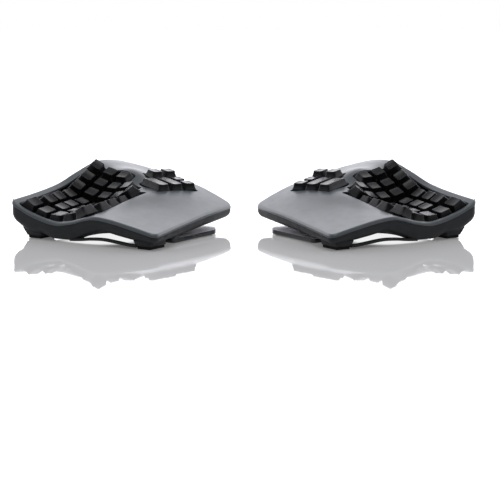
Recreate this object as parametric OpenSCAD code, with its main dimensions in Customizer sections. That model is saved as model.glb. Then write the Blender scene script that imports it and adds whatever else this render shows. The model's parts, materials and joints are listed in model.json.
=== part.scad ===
// Split ergonomic keyboard: two free-standing halves with a sunken key well,
// a thumb cluster, a palm rest and a folding tent stand under each half.
// Millimetres, +Z up. The right half is the mirror image of the left one.
// Each half is drawn in its own frame: x from the outer side to the inner side,
// y from the palm edge to the back, z up from the table.

/* [Layout] */
// Turn of each half about the vertical, degrees
half_turn = 57; // [50:1:62]
// Distance of each half's outer front corner from the middle plane
half_offset_x = 97.7; // [95:0.1:150]
// Shift of both halves along the depth, which centres the pair
half_offset_y = -134.65; // [-140:0.05:-120]

/* [Case] */
// Width of a half, outer side to inner side
half_w = 199; // [197:1:206]
// How far the palm edge runs back from the outer corner to the inner corner
front_skew = 36; // [30:1:38]
// Depth of the outer side
half_d = 203; // [202:1:208]
// Corner radius seen from above
corner_r = 9; // [8:1:12]
// Rounding of the top edge
edge_r = 2.6; // [2.4:0.1:3]
// Height of the upper case's rim below its top surface
rim_h = 3.6; // [3.4:0.1:4.5]
// Thickness of the case walls
wall = 2.5; // [2.2:0.1:2.8]
// Step from the upper case's rim in to the lower case
rim_step = 0.6; // [0.4:0.1:1]
// Gap along the parting line
parting_gap = 0.4; // [0.3:0.1:0.6]
// Rounding of the lower case from its sides to its underside
hull_r = 10; // [8:0.5:11]

/* [Top surface] */
// Height at the outer front corner
front_outer_z = 17; // [16:0.5:19]
// Height at the inner front corner
front_inner_z = 26; // [25:0.5:28]
// Height of the hump beside the palm rest, at the outer side
hump_z = 30.6; // [29:0.1:32]
// Height of the dip beside the key well, at the outer side
dip_z = 20.7; // [19.5:0.1:21.5]
// Height at the outer back corner
back_outer_z = 41; // [40:0.5:43]
// Height at the inner back corner
back_inner_z = 70; // [69:0.5:72]
// Rise of the ridge in front of the key well
ridge_lift = 4; // [3:0.5:5]
// Rise of the shoulder beside the inner columns
shoulder_lift = 7.5; // [6:0.5:8]

/* [Keys] */
// Key pitch
pitch = 19.05; // [18.8:0.05:19.1]
// Radius of the arc that the key tops of a column lie on
arc_r = 70; // [69:0.5:72]
// Angle from one row to the next, degrees
row_step = 15; // [14.8:0.1:15.2]
// Tilt of the home row towards the user, degrees
home_tilt = 3.5; // [3:0.5:4]
// Side tilt of the four outer columns, degrees
outer_tilt = 6; // [5:0.5:7]
// Side tilt of the three inner columns, degrees
inner_tilt = 24; // [23:0.5:25]
// Height of a key cap
cap_h = 8; // [7.5:0.5:8]
// Space between neighbouring key caps of a flat row
cap_gap = 1.4; // [1.2:0.1:1.8]
// Narrowing of a key cap from its base to its top
cap_taper = 4.6; // [4:0.2:5]
// Key travel
travel = 4; // [3:0.5:4]
// Clearance of a key stem in its switch
stem_clear = 0.1; // [0.05:0.05:0.1]

/* [Thumb cluster] */
// Turn of the thumb cluster seen from above, degrees
thumb_turn = -16.5; // [-18:0.5:-15.5]
// Rise of the thumb cluster towards the back, degrees
thumb_rise = 9.5; // [8:0.5:10]
// Fall of the thumb cluster towards the inner side, degrees
thumb_fall = 2; // [1:0.5:3]
// Height of the step that carries the two back keys
thumb_step = 5; // [3:0.5:5.5]

/* [Stand] */
// Thickness of the stand plate
stand_t = 4.6; // [4.2:0.1:4.6]
// Diameter of the stand's hinge pins
pin_d = 3; // [2.5:0.1:3.2]
// Clearance of a hinge pin in the stand
pin_clear = 0.05; // [0.02:0.01:0.08]
// Height of the case's rubber feet
foot_h = 3; // [2.8:0.1:3]

/* [Hidden] */
$fn = 32;
front_y = -8;
back_y = front_y + half_d;
spread = half_w / 199;
deep = half_d / 203;
col_pitch = pitch * spread;
col_dy = [1.5, -3, 0, 0, 0, 0, 0];
col_dx = spread * [-58.9, -38, -19, 0, 18.6, 35.8, 53.2];
col_dz = [-4, -2.2, -1, 0, 8.9, 18.2, 29.2];
col_rows = [5, 5, 5, 5, 5, 4, 3];
wide_key = 1.2;
row_extra = [0, 0, 0, 1, 2.5];
home_key = [76.6 * spread, back_y - 60, 32.3];
cap_base = travel + 1;
stack = cap_base + cap_h;
plate_r = arc_r + stack;
arc_y = home_key[1] - arc_r * sin(home_tilt);
switch_w = 14;
hole_clear = 0.05;
switch_depth = 5;
board_t = 1;
strip_end = 6.5;
boss_w = 16;
boss_t = 3.2;
stem_w = 5.6;
stem_low = 1.5;
stem_room = stem_low - travel - 1;
cap_wall = 1.4;
flange_h = 0.8;
tier_w = min(col_pitch, pitch) - cap_gap - 2 * cap_wall - 2.05;
neck_w = tier_w - 2.4;
lip_gap = 0.3;
lip_t = 1;
lip_corner = 6;
tile_w = 16.4 * min(1, spread);
flange_w = min(switch_w + 1.6, tile_w - 0.8);
floor_drop = [0.8, 3.3];
floor_room = [3, 5.5];
well_x = spread * [4.1, 107.8, 126.4, 148.4];
last_row = home_tilt - 2 * row_step;
row_front = (arc_r + cap_h) * sin(last_row) - (pitch - cap_gap) / 2 * cos(last_row);
well_y = [arc_y + col_dy[1] + row_front - 3.8, back_y - 92.8, back_y - 75, back_y - 6.4];
well_edge = [[well_x[0], well_y[0]], [well_x[1], well_y[0]], [well_x[1], well_y[1]],
             [well_x[2], well_y[1]], [well_x[2], well_y[2]], [well_x[3], well_y[2]],
             [well_x[3], well_y[3]], [well_x[0], well_y[3]]];
thumb_at = [122 * spread, back_y - 116.5, 45.3];
thumb_plate_t = 3.6;
thumb_keys = [[0.5, 1, 2, 0], [1.5, 1, 2, 0], [1.5, 2.5, 1, thumb_step], [2.5, 2.5, 1, thumb_step],
              [2.5, 0.5, 1, 0], [2.5, 1.5, 1, 0]];
thumb_posts = col_pitch * [[0.472, 0.21], [1.496, 1.759], [0.472, 1.732]];
thumb_post_d = 7;
thumb_w = 3 * col_pitch - cap_gap;
thumb_edge = [[-1.2, -1.2], [thumb_w + 1.2, -1.2], [thumb_w + 1.2, thumb_w + 0.4],
              [col_pitch - 1.2, thumb_w + 0.4], [col_pitch - 1.2, 2 * col_pitch - 0.4],
              [-1.2, 2 * col_pitch - 0.4]];
step_y = 2 * col_pitch - cap_gap / 2 - 0.1;
inner_post_x = half_w - 19;
case_posts = [[16, 40, 18], [122 * spread, 40, 22],
              [inner_post_x, (edge_y(inner_post_x) + thumb_plan([thumb_w, 0])[1]) / 2, 24],
              [half_w - 21, back_y - 59, 38]];
well_posts = [[22 * spread, well_y[0] - 2.4, 12.4], [88 * spread, well_y[0] - 2.4, 11.6],
              [well_x[3] + 2.2, back_y - 19, 15.6]];
post_d = 10;
boss_d = 8;
well_boss_h = 9;
screw_d = 2.8;
head_d = 5.6;
head_h = 2;
grip = 5;
bite = 6;
stand_z = 1;
hinge_x = 38;
hinge_z = 3.5;
knuckle_d = 5.4;
lug_w = 5;
knuckle_w = 12;
knuckle_gap = 0.4;
hinge_y = [36, back_y - 58];
stand_side = hinge_x + 5;
stand_tip = [[139, 11], [157, 26], [161, 148], [149, 168], [130, 168], [118, 149]];
stand_bay = [[92, 112], [86, 80], [58, 50]];
stand_line = concat([[stand_side, hinge_y[0] - 8], [stand_side + 11, hinge_y[0] - 10],
                     [stand_side + 11, 8]],
                    [for (p = stand_tip) stand_point(p)],
                    [[stand_side, hinge_y[1] + 9], [stand_side, hinge_y[1] - 9],
                     [84 * spread, hinge_y[1] - 10]],
                    [for (p = stand_bay) stand_point(p)],
                    [[stand_side, hinge_y[0] + 9]]);
pad_h = 1.4;
pad_d = 12;
stand_pads_at = [stand_point([134, 20]), stand_point([146, 156])];
foot_front = [[5, 3], [33, 22]];
foot_back = [[5, back_y - 42], [30, back_y - 22]];
foot_rear = [[4, 9], [-4, 9]];
foot_heel = [[7, 11.6], [-1, 11.6], [-13, 8]];
rail_x = [4, 9];
rail_t = 3.2;
rail_line = [[21.3, 4.6], [30, 4.8], [43, 6], [65, 7.8], [83, 7], [95, 5.6], [104, 4.8], [112, 4.4]];
board_z = 30;
main_board_t = 1.6;
board_box = [[well_x[3] + 9.6, back_y - 49], [half_w - 13, back_y - 4.8]];
usb_x = board_box[1][0] - 8;
slider_x = board_box[0][0] + 4.8;
slider_z = board_z + main_board_t + 0.8;
slider_size = [3.4, 8.4, 2.6];
slider_throw = 1.5;
battery_size = [48, 34, 6];
battery_at = [62 * spread, (edge_y(110 * spread) + well_y[0] - battery_size[1]) / 2, 14.6];
tray_z = 10;
edge_lines = [0, 0.8, 2, 3, 3.4, 6, 9.5, 14];
outer_top = [[-8, front_outer_z], [25, 23.7], [52, 28.6], [75, hump_z], [90, 28], [107, 23.4],
             [130, dip_z], [163, 28], [195, back_outer_z]];
inner_top = [[28, front_inner_z], [36, 30], [53, 37.5], [78, 46.5], [110, 53], [143, 62],
             [175, 67.5], [195, back_inner_z]];
front_top = [[0, front_outer_z], [80, 21.8], [130, 24.4], [199, front_inner_z]];
back_top = [[0, back_outer_z], [45, 46], [83, 52.5], [116, 63], [149, 72], [172, 73],
            [199, back_inner_z]];
ridge_at = [85 * spread, back_y - 109];
ridge_size = [40 * spread, 20];
shoulder_at = [well_x[3] - 2.4, back_y - 57];
shoulder_size = [22 * spread, 22];
arch_rise = [[-8, 0.3], [22, 2.2], [45, 5.3], [68, 8.3], [84, 4.4], [97, 0.4], [104, 0]];
under_slope = 0.035;
under_low = 20;
belly_y = [back_y - 101, back_y - 85, back_y - 59, back_y - 43];
belly_x = spread * [14, 24];
belly_drop = 4.4;
arch_end = back_y - 91;
arch_x = [6, 55];
rubber = [0.06, 0.06, 0.06];
case_grey = [0.36, 0.38, 0.4];
charcoal = [0.12, 0.125, 0.13];
cap_black = [0.08, 0.08, 0.085];
black = [0.05, 0.05, 0.05];
steel = [0.66, 0.67, 0.69];
board_green = [0.05, 0.22, 0.12];

// Smooth step from 0 at a to 1 at b
function ease(a, b, t) =
    let (s = min(1, max(0, (t - a) / (b - a))))
    s * s * (3 - 2 * s);

// Round bump of height 1 at c that fades over the widths w
function bump(p, c, w) = exp(-pow((p[0] - c[0]) / w[0], 2) - pow((p[1] - c[1]) / w[1], 2));

// Smooth curve through the points p, read at t
function slope_at(p, i) =
    let (a = max(0, i - 1), b = min(len(p) - 1, i + 1))
    (p[b][1] - p[a][1]) / (p[b][0] - p[a][0]);
function span_of(p, t, i = 0) = (i >= len(p) - 2 || t <= p[i + 1][0]) ? i : span_of(p, t, i + 1);
function curve(p, t) =
    let (i = span_of(p, t),
         h = p[i + 1][0] - p[i][0],
         s = min(1, max(0, (t - p[i][0]) / h)),
         e = s * s * (3 - 2 * s))
    (1 - e) * p[i][1] + e * p[i + 1][1]
    + h * s * (1 - s) * ((1 - s) * slope_at(p, i) - s * slope_at(p, i + 1));

// Point at a share of the way along the curve p
function along(p, share) = curve(p, p[0][0] + share * (p[len(p) - 1][0] - p[0][0]));

// Palm edge, and the share of the depth at a point
function edge_y(x) = front_y + front_skew * x / half_w;
function depth_share(x, y) = min(1, max(0, (y - edge_y(x)) / (back_y - edge_y(x))));

// Height of the upper surface: four edge curves blended, with the ridge and the shoulder added
function top_z(x, y) =
    let (u = min(1, max(0, x / half_w)),
         v = depth_share(x, y),
         side_l = along(outer_top, v),
         side_r = along(inner_top, v),
         near = along(front_top, u),
         far = along(back_top, u),
         flat_near = (1 - u) * front_outer_z + u * front_inner_z,
         flat_far = (1 - u) * back_outer_z + u * back_inner_z)
    (1 - u) * side_l + u * side_r + (1 - v) * (near - flat_near) + v * (far - flat_far)
    + ridge_lift * bump([x, y], ridge_at, ridge_size)
    + shoulder_lift * bump([x, y], shoulder_at, shoulder_size);

// Height of the underside: a slope with an arch at the palm side, a belly under the well
// and a rise at the back
function under_z(x, y) =
    6 + under_slope * (x - under_low)
    + along(arch_rise, min(1, (y - front_y) / (arch_end - front_y))) * (1 - ease(arch_x[0], arch_x[1], x))
    - belly_drop * ease(belly_y[0], belly_y[1], y) * (1 - ease(belly_y[2], belly_y[3], y))
      * (1 - ease(belly_x[0], belly_x[1], x))
    + 12 * ease(back_y - 30, back_y + 1, y) * (1 - 0.6 * ease(40 * spread, 120 * spread, x));

// Drop of a rounded edge of radius r at the distance d from the edge
function edge_drop(r, d) = d >= r ? 0 : r - sqrt(max(0, r * r - (r - d) * (r - d)));

// Rise of the lower case's rounded hull at the distance e from its edge
function hull_rise(p, e) =
    edge_drop(hull_r, e)
    * min(1, (top_z(p[0], p[1]) - rim_h - parting_gap - under_z(p[0], p[1]) - 2) / hull_r);

// Places of the grid lines across a length, close together at both edges
function grid_lines(length, n) =
    let (last = edge_lines[len(edge_lines) - 1], room = length - 2 * last)
    concat(edge_lines, [for (i = [1:n]) last + room * i / (n + 1)],
           [for (i = [len(edge_lines) - 1:-1:0]) length - edge_lines[i]]);

// Point of the rounded outline's grid: g on a rectangle, inset by s, drawn into the half's plan
function plan_point(g, s) =
    let (w = half_w - 2 * s, d = half_d - 2 * s, r = corner_r - s,
         bx = min(w - r, max(r, g[0])), by = min(d - r, max(r, g[1])),
         p = abs(g[0] - bx), q = abs(g[1] - by),
         k = max(p, q) > 0 ? max(p, q) / norm([p, q]) : 1,
         x = s + bx + (g[0] - bx) * k,
         t = (s + by + (g[1] - by) * k) / half_d)
    [x, edge_y(x) + t * (back_y - edge_y(x))];

// Closed sheet between two grids of points
module sheet(upper, lower) {
    n = len(upper);
    m = len(upper[0]);
    top_pts = [for (row = upper) for (p = row) p];
    low_pts = [for (row = lower) for (p = row) p];
    b = n * m;
    tops = [for (i = [0:n - 2]) for (j = [0:m - 2])
            let (a = i * m + j) each [[a, a + 1, a + m + 1], [a, a + m + 1, a + m]]];
    lows = [for (i = [0:n - 2]) for (j = [0:m - 2])
            let (a = b + i * m + j) each [[a, a + m + 1, a + 1], [a, a + m, a + m + 1]]];
    ring = concat([for (i = [0:n - 2]) i * m], [for (j = [0:m - 2]) (n - 1) * m + j],
                  [for (i = [n - 1:-1:1]) i * m + m - 1], [for (j = [m - 1:-1:1]) j]);
    k = len(ring);
    walls = [for (i = [0:k - 1])
             let (a = ring[i], c = ring[(i + 1) % k]) each [[a, c, c + b], [a, c + b, a + b]]];
    polyhedron(concat(top_pts, low_pts), concat(tops, lows, walls), convexity = 8);
}

// Outline with each corner softened over the length r
function soft(p, r, n = 4) =
    [for (i = [0:len(p) - 1])
     let (c = p[i], a = p[(i + len(p) - 1) % len(p)], b = p[(i + 1) % len(p)],
          s = c + (a - c) * r / norm(a - c), e = c + (b - c) * r / norm(b - c))
     for (k = [0:n])
     let (t = k / n) (1 - t) * (1 - t) * s + 2 * t * (1 - t) * c + t * t * e];

// Outline of right-angled corners moved inwards by d, for a run with its inside on the left
function inward(p, d) =
    [for (i = [0:len(p) - 1])
     let (a = p[(i + len(p) - 1) % len(p)], c = p[i], b = p[(i + 1) % len(p)],
          u = (c - a) / norm(c - a), w = (b - c) / norm(b - c))
     c + d * ([-u[1], u[0]] + [-w[1], w[0]])];

// Frames
module left() {
    translate([-half_offset_x, half_offset_y, 0])
        rotate([0, 0, half_turn])
            children();
}

module right() {
    mirror([1, 0, 0])
        left()
            children();
}

function col_tilt(c) = c < 4 ? outer_tilt : inner_tilt;
function row_angle(r) = home_tilt + row_step * (2 - r);
function col_at(c) = home_key + [col_dx[c], col_dy[c], col_dz[c]];

// Origin at the middle of the arc of column c
module column_frame(c) {
    translate(col_at(c))
        rotate([0, -col_tilt(c), 0])
            translate([0, -arc_r * sin(home_tilt), arc_r * cos(home_tilt)])
                children();
}

// Origin on top of the plate under the key of column c and row r, z along the key's travel
module key_frame(c, r) {
    column_frame(c)
        rotate([row_angle(r), 0, 0])
            translate([0, 0, -plate_r])
                children();
}

module thumb_frame() {
    translate(thumb_at)
        rotate([0, 0, thumb_turn])
            rotate([thumb_rise, 0, 0])
                rotate([0, thumb_fall, 0])
                    translate([0, 0, -cap_base])
                        children();
}

module thumb_key_frame(i) {
    thumb_frame()
        translate([thumb_keys[i][0] * col_pitch - cap_gap / 2,
                   thumb_keys[i][1] * col_pitch - cap_gap / 2, thumb_keys[i][3]])
            children();
}

module each_switch() {
    for (c = [0:6])
        for (r = [0:col_rows[c] - 1])
            key_frame(c, r)
                lifted(0)
                    children();
    for (i = [0:len(thumb_keys) - 1])
        thumb_key_frame(i)
            lifted(thumb_keys[i][3])
                children();
}

// Tells a switch how far its plate is lifted above the board
module lifted(h) {
    $lift = h;
    children();
}

function thumb_plan(p) =
    [thumb_at[0] + p[0] * cos(thumb_turn) - p[1] * sin(thumb_turn),
     thumb_at[1] + p[0] * sin(thumb_turn) + p[1] * cos(thumb_turn)];

// Length of a post from the thumb plate down into the lower case's floor
function thumb_post_h(p) =
    let (q = thumb_plan(p),
         z = thumb_at[2] - cap_base - thumb_plate_t + p[1] * sin(thumb_rise) - p[0] * sin(thumb_fall))
    (z - under_z(q[0], q[1]) - wall / 2) / cos(thumb_rise);

// Well floor: height of the plate's middle surface over the plan
well_cols = [for (c = [0:6])
             [col_at(c)[0] + stack * sin(col_tilt(c)), col_at(c)[2] - stack * cos(col_tilt(c))]];
well_line = concat([[0, well_cols[0][1] - tan(outer_tilt) * well_cols[0][0]]], well_cols,
                   [[half_w, well_cols[6][1] + tan(inner_tilt) * (half_w - well_cols[6][0])]]);
function well_z(x, y) =
    let (rise = plate_r - sqrt(plate_r * plate_r - pow(y - arc_y, 2)))
    lookup(x, well_line) + rise * (1 + (1 / cos(inner_tilt) - 1) * ease(well_cols[3][0], well_cols[4][0], x));

// Screw post of the well with its top set below the floor by the post's third value
function well_post(p) =
    let (x = min(p[0], well_x[3] - lip_gap - lip_t), y = max(p[1], well_y[0] + lip_gap + lip_t))
    [p[0], p[1], well_z(x, y) - p[2]];
function boss_room(p) = top_z(p[0], p[1]) - wall - 1 - p[2];
function screw_posts() = concat(case_posts, [for (p = well_posts) well_post(p)]);

// Point of the stand's outline, which follows the size of the half
function stand_point(p) = [p[0] * spread, front_y + (p[1] - front_y) * deep];

// Upper case
module top_case() {
    gx = grid_lines(half_w, 11);
    gy = grid_lines(half_d, 12);
    edge = [for (x = gx) [for (y = gy) min(x, half_w - x, y, half_d - y)]];
    plan = [for (x = gx) [for (y = gy) plan_point([x, y], 0)]];
    ids = [for (i = [0:len(gx) - 1]) [for (j = [0:len(gy) - 1]) [i, j]]];
    upper = [for (row = ids) [for (k = row)
             let (p = plan[k[0]][k[1]], d = edge[k[0]][k[1]])
             [p[0], p[1], top_z(p[0], p[1]) - edge_drop(edge_r, d)]]];
    lower = [for (row = ids) [for (k = row)
             let (p = plan[k[0]][k[1]], d = edge[k[0]][k[1]])
             [p[0], p[1], top_z(p[0], p[1]) - (d < 3.2 ? rim_h : wall + edge_drop(edge_r, d))]]];
    color(case_grey)
    difference() {
        union() {
            difference() {
                sheet(upper, lower);
                linear_extrude(height = 100)
                    polygon(soft(well_edge, lip_corner));
                linear_extrude(height = 100)
                    polygon([for (p = soft(thumb_edge, 2)) thumb_plan(p)]);
            }
            for (p = case_posts)
                translate([p[0], p[1], p[2]])
                    cylinder(d = boss_d, h = top_z(p[0], p[1]) - 1.5 - p[2]);
        }
        for (p = case_posts)
            translate([p[0], p[1], p[2] - 1])
                cylinder(d = screw_d + 0.1, h = bite + 1.5);
    }
}

// Lower case
module bottom_case() {
    s = rim_step;
    w = half_w - 2 * s;
    d = half_d - 2 * s;
    gx = grid_lines(w, 11);
    gy = grid_lines(d, 12);
    upper = [for (x = gx) [for (y = gy)
             let (p = plan_point([x, y], s), e = min(x, w - x, y, d - y))
             [p[0], p[1],
              e < 2.5 ? top_z(p[0], p[1]) - rim_h - parting_gap
              : under_z(p[0], p[1]) + wall + hull_rise(p, e)]]];
    lower = [for (x = gx) [for (y = gy)
             let (p = plan_point([x, y], s), e = min(x, w - x, y, d - y))
             [p[0], p[1], under_z(p[0], p[1]) + hull_rise(p, e)]]];
    color(charcoal)
    difference() {
        union() {
            sheet(upper, lower);
            for (p = screw_posts())
                translate([p[0], p[1], under_z(p[0], p[1]) + wall / 2])
                    cylinder(d = post_d, h = p[2] - under_z(p[0], p[1]) - wall / 2);
            foot_block(foot_front, foot_rear);
            foot_block(foot_back, foot_heel);
            arch_rail();
            for (p = thumb_posts)
                thumb_frame()
                    translate([p[0], p[1], -thumb_plate_t - thumb_post_h(p)])
                        cylinder(d = thumb_post_d, h = thumb_post_h(p));
            for (x = [board_box[0][0] + 4, board_box[1][0] - 4])
                for (y = [board_box[0][1] + 4, board_box[1][1] - 12])
                    translate([x, y, under_z(x, y) + 1])
                        cylinder(d = 6, h = board_z - under_z(x, y) - 1);
            translate([battery_at[0] - 1, battery_at[1] - 1, tray_z])
                cube([battery_size[0] + 2, battery_size[1] + 2, battery_at[2] - tray_z]);
            hinge_lugs();
        }
        for (p = screw_posts()) {
            translate([p[0], p[1], 0])
                cylinder(d = head_d + 0.8, h = p[2] - grip);
            translate([p[0], p[1], 0])
                cylinder(d = screw_d + 0.4, h = p[2] + 1);
        }
        for (y = hinge_y)
            translate([hinge_x, y - 15, hinge_z])
                rotate([-90, 0, 0])
                    cylinder(d = pin_d + 0.04, h = 30);
        translate([usb_x - 4.9, back_y - 8, board_z + main_board_t - 0.4])
            cube([9.8, 12, 4]);
        translate([slider_x - slider_size[0] / 2 - slider_throw - 0.4, back_y - 8, slider_z - 0.4])
            cube([slider_size[0] + 2 * slider_throw + 0.8, 12, slider_size[2] + 0.8]);
    }
}

// Block that carries a rubber foot: rear holds its upper points, measured from its rear edge
module foot_block(f, rear) {
    back = f[1][1];
    top = [for (p = rear) [back + p[0], p[1]]];
    translate([f[0][0], 0, 0])
        rotate([90, 0, 90])
            linear_extrude(height = f[1][0] - f[0][0])
                polygon(concat([[f[0][1], foot_h], [back, foot_h]], top, [[f[0][1], top[len(top) - 1][1]]]));
}

// Low rail across the arch, from the front foot to the belly
module arch_rail() {
    y0 = rail_line[0][0];
    y1 = rail_line[len(rail_line) - 1][0];
    line = [for (i = [0:24]) let (y = y0 + (y1 - y0) * i / 24) [y, curve(rail_line, y)]];
    translate([rail_x[0], 0, 0])
        rotate([90, 0, 90])
            linear_extrude(height = rail_x[1] - rail_x[0])
                polygon(concat([for (p = line) p - [0, rail_t]], reversed(line)));
}

// Hinge lugs of the lower case: a pair at each side of a stand knuckle
module hinge_lugs() {
    for (y = hinge_y)
        for (k = [-1, 1])
            translate([hinge_x, y + k * (knuckle_w / 2 + knuckle_gap + lug_w / 2) - lug_w / 2, 0]) {
                translate([0, 0, hinge_z])
                    rotate([-90, 0, 0])
                        cylinder(d = knuckle_d, h = lug_w);
                translate([-knuckle_d / 2, 0, hinge_z])
                    cube([knuckle_d, lug_w, under_z(hinge_x, y) + 1.2 - hinge_z]);
            }
}

// Key well: a dished floor with a lip, seats for the switches and three screw bosses
module key_well() {
    color(black)
    difference() {
        union() {
            well_floor();
            well_lip();
            for (c = [0:6])
                for (r = [0:col_rows[c] - 1])
                    key_frame(c, r)
                        translate([-boss_w / 2, -boss_w / 2, -boss_t])
                            cube([boss_w, boss_w, boss_t]);
            for (p = well_posts)
                translate(well_post(p))
                    cylinder(d = boss_d - 1, h = min(well_boss_h, boss_room(well_post(p))));
        }
        for (c = [0:6])
            for (r = [0:col_rows[c] - 1])
                key_frame(c, r)
                    translate([-switch_w / 2 - hole_clear, -switch_w / 2 - hole_clear, -7])
                        cube([switch_w + 2 * hole_clear, switch_w + 2 * hole_clear, 12]);
        for (p = well_posts)
            translate(well_post(p) - [0, 0, 1])
                cylinder(d = screw_d + 0.1, h = bite + 1.5);
    }
}

// Point in the frame of column c: x across it, yz on the plane of its arc
function column_point(c, x, yz) =
    let (h = yz[1] + arc_r * cos(home_tilt), t = col_tilt(c))
    col_at(c) + [x * cos(t) - h * sin(t), yz[0] - arc_r * sin(home_tilt), x * sin(t) + h * cos(t)];

// Point on the flat of row r at the radius q, the distance t in front of (-) or behind the key
function row_flat(r, q, t) =
    let (a = row_angle(r))
    [t * cos(a) + q * sin(a), t * sin(a) - q * cos(a)];

// Fold line k of the floor under column c: 0 and 7 end at the lip, 1 and 6 at the end keys' seats
function fold(c, k, q, e) =
    let (last = col_rows[c] - 1,
         front = c < 5 ? e[0][1] : c < 6 ? e[2][1] : e[4][1],
         y0 = arc_y + col_dy[c])
    k == 0 ? to_line(0, q, e[6][1] - y0)
    : k == 1 ? row_flat(0, q, tile_w / 2)
    : k - 1 <= last ? bend_point(q / cos(row_step / 2), k - 1)
    : k == 6 && c < 5 ? row_flat(last, q, -tile_w / 2)
    : to_line(last, q, front - y0);
function to_line(r, q, y) = row_flat(r, q, (y - q * sin(row_angle(r))) / cos(row_angle(r)));

// Point of a floor edge at the place x, kept below the upper case
function floor_end(c, k, n, e, x) =
    let (yz = fold(c, k, plate_r + floor_drop[n], e),
         h = yz[1] + arc_r * cos(home_tilt),
         t = col_tilt(c))
    under_top(column_point(c, (x - col_at(c)[0] + h * sin(t)) / cos(t), yz), n);
function under_top(p, n) = [p[0], p[1], min(p[2], top_z(p[0], p[1]) - floor_room[n])];

// Points of the floor along the fold line k, upper (n = 0) or lower (n = 1)
function floor_line(k, n, e) =
    let (corner = k == 0 ? 0.4 * lip_corner : 0,
         seats = [for (c = [0:6]) for (side = [-1, 1])
                  let (p = column_point(c, side * tile_w / 2, fold(c, k, plate_r + floor_drop[n], e)))
                  k == 0 || k == 7 ? under_top(p, n) : p],
         notch_a = k < 5 ? (seats[9] + seats[10]) / 2
                   : floor_end(4, k, n, e, max(e[2][0], seats[9][0] + 0.4)),
         notch_b = k < 4 ? (seats[11] + seats[12]) / 2
                   : floor_end(5, k, n, e, max(e[4][0], seats[11][0] + 0.4)))
    concat([floor_end(0, k, n, e, e[0][0] + corner)], [for (i = [0:9]) seats[i]],
           [notch_a, seats[10], seats[11], notch_b, seats[12], seats[13]],
           [floor_end(6, k, n, e, e[5][0] - corner)]);

// Dished floor of the well, folded under the switches and stepped back beside the thumb cluster
module well_floor() {
    e = inward(well_edge, lip_gap + lip_t / 2);
    lines = [for (n = [0, 1]) [for (k = [7:-1:0]) floor_line(k, n, e)]];
    m = 8;
    b = 18 * m;
    points = [for (n = [0, 1]) for (i = [0:17]) for (j = [0:m - 1]) lines[n][j][i]];
    cells = [for (i = [0:16]) for (j = [0:m - 2]) if (in_floor(i, j)) [i, j]];
    faces = [for (k = cells)
             let (i = k[0], j = k[1], a = i * m + j, c = a + 1, f = a + m + 1, g = a + m)
             each concat([[a, c, f], [a, f, g], [a + b, f + b, c + b], [a + b, g + b, f + b]],
                         in_floor(i - 1, j) ? [] : [[c, a, a + b], [c, a + b, c + b]],
                         in_floor(i + 1, j) ? [] : [[g, f, f + b], [g, f + b, g + b]],
                         in_floor(i, j - 1) ? [] : [[a, g, g + b], [a, g + b, a + b]],
                         in_floor(i, j + 1) ? [] : [[f, c, c + b], [f, c + b, f + b]])];
    polyhedron(points, faces, convexity = 8);
}

// True for a cell of the floor's grid that lies inside the well
function in_floor(i, j) = i >= 0 && j >= 0 && j < 7 && i < (j < 2 ? 11 : j < 3 ? 14 : 17);

// Lip of the well: an upright band inside the upper case's opening
module well_lip() {
    a = soft(inward(well_edge, lip_gap), lip_corner);
    c = soft(inward(well_edge, lip_gap + lip_t), lip_corner);
    k = len(a);
    run = [for (i = [0:k - 1])
           let (n = norm(a[(i + 1) % k] - a[i]) > 8 ? 8 : 1, g = (i + 1) % k)
           for (t = [0:n - 1])
           [a[i] + (a[g] - a[i]) * t / n, c[i] + (c[g] - c[i]) * t / n]];
    m = len(run);
    highs = [for (q = run) top_z(q[0][0], q[0][1]) - 1];
    lows = [for (i = [0:m - 1]) min(highs[i] - 7, well_z(run[i][1][0], run[i][1][1]) - 7)];
    points = [for (i = [0:m - 1])
              each [[run[i][0][0], run[i][0][1], lows[i]], [run[i][0][0], run[i][0][1], highs[i]],
                    [run[i][1][0], run[i][1][1], highs[i]], [run[i][1][0], run[i][1][1], lows[i]]]];
    faces = [for (i = [0:m - 1]) for (s = [0:3])
             let (o = 4 * i, p = 4 * ((i + 1) % m), t = (s + 1) % 4)
             each [[o + s, o + t, p + t], [o + s, p + t, p + s]]];
    polyhedron(points, faces, convexity = 8);
}

// Plate that carries the thumb switches, with a step under the back keys
module thumb_plate() {
    low = -7 - thumb_step;
    e = inward(thumb_edge, 0.4);
    color(black)
    difference() {
        thumb_frame()
            translate([0, 0, -thumb_plate_t])
                union() {
                    linear_extrude(height = thumb_plate_t)
                        polygon(e);
                    linear_extrude(height = thumb_plate_t + thumb_step)
                        polygon([[e[3][0], step_y], [e[2][0], step_y], e[2], e[3]]);
                }
        for (i = [0:len(thumb_keys) - 1])
            thumb_key_frame(i)
                translate([-switch_w / 2 - hole_clear, -switch_w / 2 - hole_clear, low])
                    cube([switch_w + 2 * hole_clear, switch_w + 2 * hole_clear, 5 - low]);
    }
}

// Switch housings, each with a square well for the key stem
module switch_housings() {
    color(black)
    each_switch()
        difference() {
            union() {
                translate([-switch_w / 2, -switch_w / 2, -switch_depth - $lift])
                    cube([switch_w, switch_w, switch_depth + $lift + 0.5]);
                translate([-flange_w / 2, -flange_w / 2, 0])
                    cube([flange_w, flange_w, flange_h]);
                translate([-tier_w / 2, -tier_w / 2, 0.5])
                    cube([tier_w, tier_w, 2.3]);
                translate([-neck_w / 2, -neck_w / 2, 2.5])
                    cube([neck_w, neck_w, 3.7]);
            }
            translate([-stem_w / 2 - stem_clear, -stem_w / 2 - stem_clear, stem_room])
                cube([stem_w + 2 * stem_clear, stem_w + 2 * stem_clear, 12]);
        }
}

// Bend k of a column's circuit strip, at the radius r from the middle of the column's arc
function bend_point(r, k) =
    let (a = home_tilt + row_step * (2.5 - k))
    [r * sin(a), -r * cos(a)];

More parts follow.
